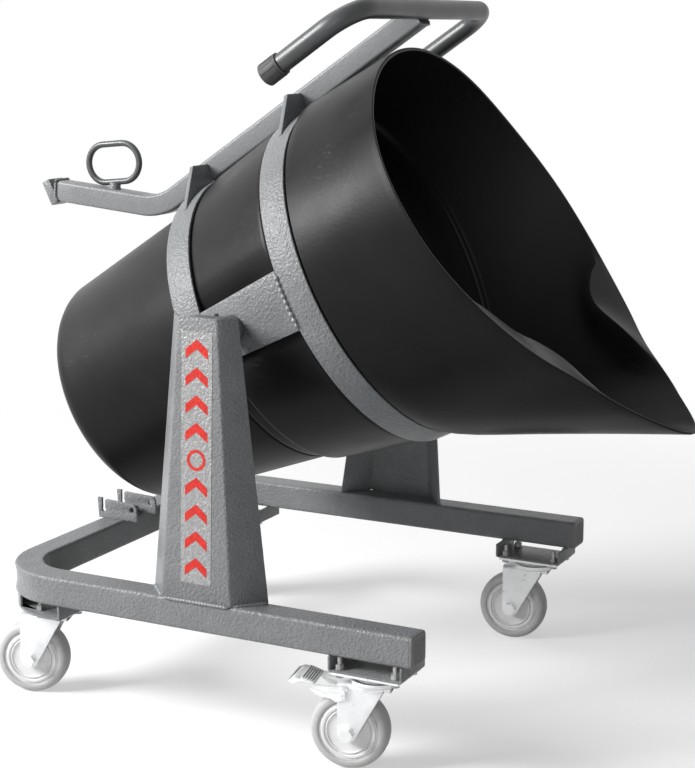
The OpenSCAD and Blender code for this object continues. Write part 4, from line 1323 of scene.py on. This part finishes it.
def base_section(skin):
    side = TUBE - 2 * skin
    plain = with_mid_points(soft_box(side, side, 2 if skin else 4.5, 5))

    def section(i, here):
        crease, hollow = (0.0, 0.0) if skin else press_marks(here)
        outline = []
        for u, v in plain:
            across, upward = max(0.0, 1 - (v / 18) ** 2), max(0.0, 1 - (u / 18) ** 2)
            if u > 14:
                u -= crease * across
            elif u < -14:
                u += hollow * across
            if abs(v) > 14:
                v -= math.copysign(0.25 * crease * upward, v)
            outline.append((u, v))
        return outline
    return section


outer_skin = along(base_line, base_section(0), UP)
inner_skin = along(base_line, base_section(BASE_WALL), UP)
points, faces = loft(outer_skin + list(reversed(inner_skin)), closed=True)
base_bar = solid("base_bar", points, faces, frame_paint, "base", "frame_paint")
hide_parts("base_tube")
print("base bar:", len(base_bar.data.polygons), "faces")

# %% [markdown]
# ## Tube plugs
# Each open end holds a moulded plug with a fine crossed relief on its face.

# %% Plugs
PLUG_STEPS = ((33.6, -18, 2), (33.6, 0, 2), (39.0, 0, 4.4), (39.6, 0.6, 4.5), (39.6, 2.6, 4.5),
              (39.0, 3.4, 4.4), (36.6, 4.5, 4.2), (35.4, 4.8, 4.0), (30.5, 4.8, 3.0),
              (30.0, 4.4, 3.0))
RIB_HALF, RIB_OFFSETS = 14.6, (-20, -12, -4, 4, 12, 20)
RIB_SHAPE = soft_box(1.3, 0.9, 0.4, 2)


def build_plug(name, y):
    """A plug's face is a loft of (side, depth, corner radius), and its relief is crossed ribs."""
    rings = []
    for side, x, radius in PLUG_STEPS:
        rings.append([Vector((FRONT_X + x, y + u, RAIL_MID + v))
                      for u, v in soft_box(side, side, radius, 5)])
    points, faces = loft(rings)
    face = solid(name + "_face", points, faces, plug_plastic, "base", "plug_plastic", sharp=30)
    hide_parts(name)
    for k, offset in enumerate(RIB_OFFSETS):
        for m, tag in ((-1, "a"), (1, "b")):
            ends = []
            for t in [RIB_HALF * q / 20 for q in range(-20, 21)]:
                v = m * t + offset
                if abs(v) <= RIB_HALF:
                    ends.append(Vector((FRONT_X + 4.5, y + t, RAIL_MID + v)))
            if len(ends) < 4:
                continue
            rib = bar(f"{name}_rib_{k}{tag}", [ends[0], ends[-1]], RIB_SHAPE, FORWARD,
                      plug_plastic, "base", "plug_plastic")
            rib.parent = face


build_plug("plug_near", -RAIL_Y)
build_plug("plug_far", RAIL_Y)
print("plugs with crossed ribs")

# %% [markdown]
# ## Pillars
# Each pillar is a sheet folded into an open channel that narrows upwards. The
# fold line is rounded, so the outline is made by `folded`, which offsets a
# polyline and fillets its corners; the same outline is then lofted from the foot
# to the flat-cut top.

# %% Pillars
PILLAR_X, WEB_Y, PILLAR_T, PILLAR_H = -58.5, 300.0, 3.0, 363.0
WEB_FOOT, WEB_HEAD, FLANGE_FOOT, FLANGE_HEAD = 101, 55, 37, 20
FLANGE_SPREAD, FLANGE_RUN = 0.93, 34.4
RAIL_TOP = RAIL_Z + TUBE


def pillar_ring(share, side):
    """Outline of the folded sheet at a share of the pillar's height."""
    half = (WEB_FOOT + (WEB_HEAD - WEB_FOOT) * share) / 2
    deep = FLANGE_FOOT + (FLANGE_HEAD - FLANGE_FOOT) * share
    middle = PILLAR_X + (PIVOT.x - PILLAR_X) * share
    spread = deep * FLANGE_SPREAD
    corners = [(middle - half - spread, -WEB_Y + deep), (middle - half, -WEB_Y),
               (middle + half, -WEB_Y), (middle + half + spread, -WEB_Y + deep)]
    z = RAIL_TOP + PILLAR_H * share
    return [Vector((x, y * -side, z)) for x, y in folded(corners, PILLAR_T, 5.5, 6)]


for side, name in SIDES:
    rings = [pillar_ring(k / 8, side) for k in range(9)]
    points, faces = loft(rings)
    post = solid(f"pillar_{name}_sheet", points, faces, frame_paint, "base", "frame_paint",
                 round_off=0.6, corner=60)
    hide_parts(f"pillar_{name}")
    y = side * (WEB_Y + 0.4)
    foot = [Vector((PILLAR_X - 48 + 96 * k / 12, y, RAIL_TOP - 0.6)) for k in range(13)]
    weld(f"weld_pillar_{name}_web", foot, 2.4, "base")
    for m, tag in ((-1, "back"), (1, "front")):
        slope = []
        for t in [0.08 + 0.9 * k / 8 for k in range(9)]:
            x = PILLAR_X + m * (WEB_FOOT / 2 + FLANGE_RUN * t)
            slope.append(Vector((x, side * (WEB_Y - FLANGE_FOOT * t), RAIL_TOP + 0.6)))
        weld(f"weld_pillar_{name}_{tag}", slope, 2.6, "base")
for name in ("block_near", "block_far", "hub_near", "hub_far"):
    carried(name, frame_paint, "frame_paint", width=0.8)
for name in ("shaft_near", "shaft_far"):
    carried(name, bolt_steel_and_shade, "zinc", width=0.4)
carried("cross_pins", frame_paint, "zinc", width=0.4)
print("pillars, blocks and trunnions")

# %% [markdown]
# ## Catch plates, rest pad and castor brackets
# The flat catch plates and the rear brackets are good CAD shapes and are carried
# over. The front brackets are sheet folded into a channel, open to both sides.

# %% Catches and brackets
for name in ("catch_near", "catch_far"):
    carried(name, frame_paint, "frame_paint", width=0.6)
carried("rest_pad", pad_rubber, "pad_rubber", width=2.0, steps=3)
for name in ("bracket_rn", "bracket_rf"):
    carried(name, frame_paint, "frame_paint", width=0.6)

PLATE_TOP, BRACKET_H = 128.0, 20.0
BRACKET_HALF, BRACKET_DEEP, BRACKET_T, BRACKET_FOLD = 50, 33.5, 3.0, 4.0
FRONT_PIN = Vector((179.5, 267.5, 0))
for side, name in ((-1, "fn"), (1, "ff")):
    back, front = FRONT_PIN.x - BRACKET_HALF, FRONT_PIN.x + BRACKET_HALF
    corners = [(back, PLATE_TOP + BRACKET_H), (back, PLATE_TOP),
               (front, PLATE_TOP), (front, PLATE_TOP + BRACKET_H)]
    outline = folded(corners, BRACKET_T, BRACKET_FOLD, 5)
    middle = side * FRONT_PIN.y
    rings = [[Vector((x, middle + w, z)) for x, z in outline]
             for w in (-BRACKET_DEEP, BRACKET_DEEP)]
    points, faces = loft(rings)
    channel = solid(f"bracket_{name}_sheet", points, faces, frame_paint, "base", "frame_paint",
                    round_off=0.5, corner=60)
    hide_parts(f"bracket_{name}")
    for x, tag in ((back - 0.4, "back"), (front + 0.4, "front")):
        seam = [Vector((x, side * (FRONT_PIN.y + w), RAIL_Z - 1)) for w in (-6, 11, 28)]
        weld(f"weld_bracket_{name}_{tag}", seam, 2.0, "base")
print("brackets and catches")

# %% [markdown]
# ## Castors
# A castor has a fixed plate with its ball race, a swivelling pressed fork, an
# axle bolt with nuts, a wheel disc and a grey rubber tyre. The fork is one sheet
# pressed over a former, so its section is an upside-down U with round shoulders,
# and its lower edge narrows to the axle. Wheel and tyre are turned profiles.

# %% Fork section
AXLE_Z, TRAIL = 50.0, 32.0
LEG_IN, LEG_T = 19.0, 3.0
CROWN_Z = 112.0
CASTORS = {"fn": ((179.5, -267.5), 12), "ff": ((179.5, 267.5), 7),
           "rn": ((-327.5, -232), 18), "rf": ((-327.5, 232), 12)}
BOSS_END, BOSS_R, BOSS_LOW = -TRAIL + 10.6, 12.1, 44.6
SLOPE_END, SLOPE_HIGH = 15, 110.0


def castor_frame(name):
    (x, y), yaw = CASTORS[name]
    a = math.radians(yaw)
    ahead = Vector((math.cos(a), math.sin(a), 0))
    left = Vector((-math.sin(a), math.cos(a), 0))

    def place(u, v, w):
        return Vector((x, y, 0)) + ahead * u + left * v + UP * w
    return place, left


def fork_low(u):
    """Lower edge of the fork's legs at a distance u from the swivel pin."""
    if u <= BOSS_END:
        return AXLE_Z - math.sqrt(max(BOSS_R**2 - (u + TRAIL) ** 2, 0))
    if u <= SLOPE_END:
        share = (u - BOSS_END) / (SLOPE_END - BOSS_END)
        return BOSS_LOW + (SLOPE_HIGH - BOSS_LOW) * share
    return SLOPE_HIGH + (u - SLOPE_END) / 6


def fork_ring(place, u):
    low = min(fork_low(u), CROWN_Z + 0.4)
    outer, top, turn = LEG_IN + LEG_T, CROWN_Z + 2.6, 6.5
    right = [(-outer, low), (-outer, (low + top - turn) / 2)]
    right += arc(-outer + turn, top - turn, turn, 180, 90, 6)
    skin = right + [(-v, w) for v, w in reversed(right)]
    inner, roof = LEG_IN, CROWN_Z
    left = [(-inner, low), (-inner, (low + roof - turn + 3) / 2)]
    left += arc(-inner + turn - 3, roof - turn + 3, turn - 3, 180, 90, 6)
    lining = left + [(-v, w) for v, w in reversed(left)]
    return [place(u, v, w) for v, w in skin + list(reversed(lining))]


print("fork edge at the axle:", round(fork_low(-TRAIL), 1), "mm above the floor")

# %% Castors
FORK_STATIONS = (-44.05, -43.9, -43.4, -42.4, -40.8, -38.5, -35.5, -32, -28.5, -25.5, -23, -21.4,
                 -18, -12, -6, 0, 6, 11, 15, 19, 23)
BOWL = ((6.3, -0.2), (24, -0.2), (29, 0.3), (31.4, 2.2), (32, 4.6), (31.9, 6.4), (31.3, 7),
        (30.4, 7), (29.8, 6.2), (29.3, 4), (27.5, 2.9), (6.3, 2.9))
TYRE_EDGE = ((37.7, 13.6), (38.6, 14.6), (40.6, 15), (43.0, 14.7), (45.4, 14.1), (47.3, 12.8),
             (48.6, 10.8), (49.4, 8.2), (49.85, 5), (50, 0))
DISC_FACE = ((5.05, 18.6), (8.6, 18.6), (9.2, 18), (9.8, 14.6), (11, 13.6), (25.4, 13.3),
             (26.6, 13.6), (27.4, 14.9), (28.2, 15), (28.8, 14.2), (29.2, 12.4), (30.2, 12.4),
             (30.8, 14.2), (31.6, 15), (34.2, 15), (35, 14.2), (35.5, 12.8), (36.3, 12.8),
             (36.7, 13.8), (37.3, 14))


def build_fork(name):
    place, _ = castor_frame(name)
    points, faces = loft([fork_ring(place, u) for u in FORK_STATIONS])
    fork = solid(f"fork_{name}_pressing", points, faces, zinc, f"swivel_{name}", "zinc",
                 round_off=0.5, corner=55)
    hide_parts(f"fork_{name}")
    dish = [(r, CROWN_Z + rise) for r, rise in BOWL]
    turned(f"fork_{name}_bowl", dish, place(0, 0, 0), UP, zinc, f"swivel_{name}", "zinc", steps=72)


def both_faces(profile):
    """The profile and its mirror image; a point on the middle plane is kept once."""
    return list(profile) + [(r, -d) for r, d in reversed(profile) if d]


def build_wheel(name):
    place, left = castor_frame(name)
    centre = place(-TRAIL, 0, AXLE_Z)
    body = f"roller_{name}"
    tyre = turned(f"tyre_{name}_band", both_faces(TYRE_EDGE), centre, left, tyre_grey, body,
                  "tyre_grey", steps=96, sharp=40)
    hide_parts(f"tyre_{name}")
    disc = turned(f"wheel_{name}_disc", both_faces(DISC_FACE), centre, left, wheel_grey, body,
                  "wheel_grey", steps=96, sharp=28)
    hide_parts(f"wheel_{name}")


for name in CASTORS:
    build_fork(name)
    build_wheel(name)
    carried(f"axle_{name}", zinc, "zinc", width=0.5)
    carried(f"plate_{name}", zinc, "zinc", width=0.5)
    carried(f"bolts_{name}", bolt_steel_and_shade, "zinc", width=0.35)
print("castors:", ", ".join(CASTORS))

# %% [markdown]
# ## Brake pedal
# The pedal's pressed cheeks come from CAD. Its tread is a separate grey plastic
# pad with cross ribs, clipped over the pressing.

# %% Brake pedal
RIVET_U, RIVET_W = -TRAIL - 6, 104.0
TREAD_HALF, TREAD_RIBS, TREAD_STEP, TREAD_RISE = LEG_IN + LEG_T - 0.4, 6, 2.9, 0.98
carried("brake_pedal", zinc, "zinc", width=0.45)


def tread_outline():
    """Side view of the tread, with low cross ribs on its sloping top."""
    outline = [(RIVET_U - 34.6, RIVET_W + 6.0)]
    for k in range(TREAD_RIBS):
        u, w = RIVET_U - 35 - TREAD_STEP * k, RIVET_W + 7.2 + TREAD_RISE * k
        outline += [(u, w), (u - 0.5, w + 1.9), (u - 1.7, w + 2.3), (u - 2.2, w + 0.5)]
    return outline + [(RIVET_U - 53, RIVET_W + 12.4), (RIVET_U - 53, RIVET_W + 10.4)]


def build_tread():
    place, _ = castor_frame("fn")
    rings = [[place(u, v, w) for u, w in tread_outline()] for v in (-TREAD_HALF, TREAD_HALF)]
    points, faces = loft(rings)
    solid("pedal_tread", points, faces, wheel_grey, "pedal", "wheel_grey", round_off=0.3, corner=40)
    # A darker sheet among the ribs is painted shade where the tread has its slot.
    low, high = (RIVET_U - 36.5, RIVET_W + 7.7), (RIVET_U - 50.5, RIVET_W + 12.4)
    sheet = [low, (low[0], low[1] + 1.3), (high[0], high[1] + 1.3), high]
    rings = [[place(u, v, w) for u, w in sheet] for v in (-TREAD_HALF + 6, TREAD_HALF - 6)]
    points, faces = loft(rings)
    solid("pedal_slot_shade", points, faces, plug_plastic, "pedal", "plug_plastic")


build_tread()
print("brake pedal and tread")

# %% [markdown]
# ## Pillar strips
# Each pillar has a vinyl strip on its web. It carries a plain generic pattern of
# red chevrons with one ring in the middle. The marks are thin slabs on the strip,
# so they keep a crisp edge.

# %% Pillar strips
MARK_LOW, MARK_HIGH = 0.35, 0.62
FIRST_MARK, MARK_STEP, MARKS, RING_MARK = 45, 34.8, 9, 4
RING_INNER, RING_OUTER = 9.5, 13.5


def label_point(side, across, height, lift):
    middle = PILLAR_X + (PIVOT.x - PILLAR_X) * height / PILLAR_H
    return Vector((middle + across, side * (WEB_Y + lift), RAIL_TOP + height))


def flat_mark(name, outline, side):
    rings = [[label_point(side, u, v, w) for u, v in outline] for w in (MARK_LOW, MARK_HIGH)]
    points, faces = loft(rings)
    solid(name, points, faces, mark_red, "base", "label_vinyl", sharp=30)


def chevron(middle, half=16.0, tall=12.5, thick=12.0):
    low = middle - tall
    return [(-half, low), (0, middle), (half, low), (half, low + thick),
            (0, middle + thick), (-half, low + thick)]


def ring_mark(name, height, side):
    section = ((RING_INNER, MARK_LOW), (RING_OUTER, MARK_LOW),
               (RING_OUTER, MARK_HIGH), (RING_INNER, MARK_HIGH))
    rings = []
    for k in range(48):
        across, up = math.cos(2 * math.pi * k / 48), math.sin(2 * math.pi * k / 48)
        rings.append([label_point(side, across * r, height + up * r, w) for r, w in section])
    points, faces = loft(rings, closed=True)
    solid(name, points, faces, mark_red, "base", "label_vinyl", sharp=30)


for side, name in SIDES:
    carried(f"label_{name}", label_vinyl, "label_vinyl", width=0)
    for k in range(MARKS):
        height = FIRST_MARK + MARK_STEP * k
        if k == RING_MARK:
            ring_mark(f"mark_{name}_ring", height, side)
        else:
            flat_mark(f"mark_{name}_{k}", chevron(height + 1), side)
print("strips with", MARKS, "marks each")
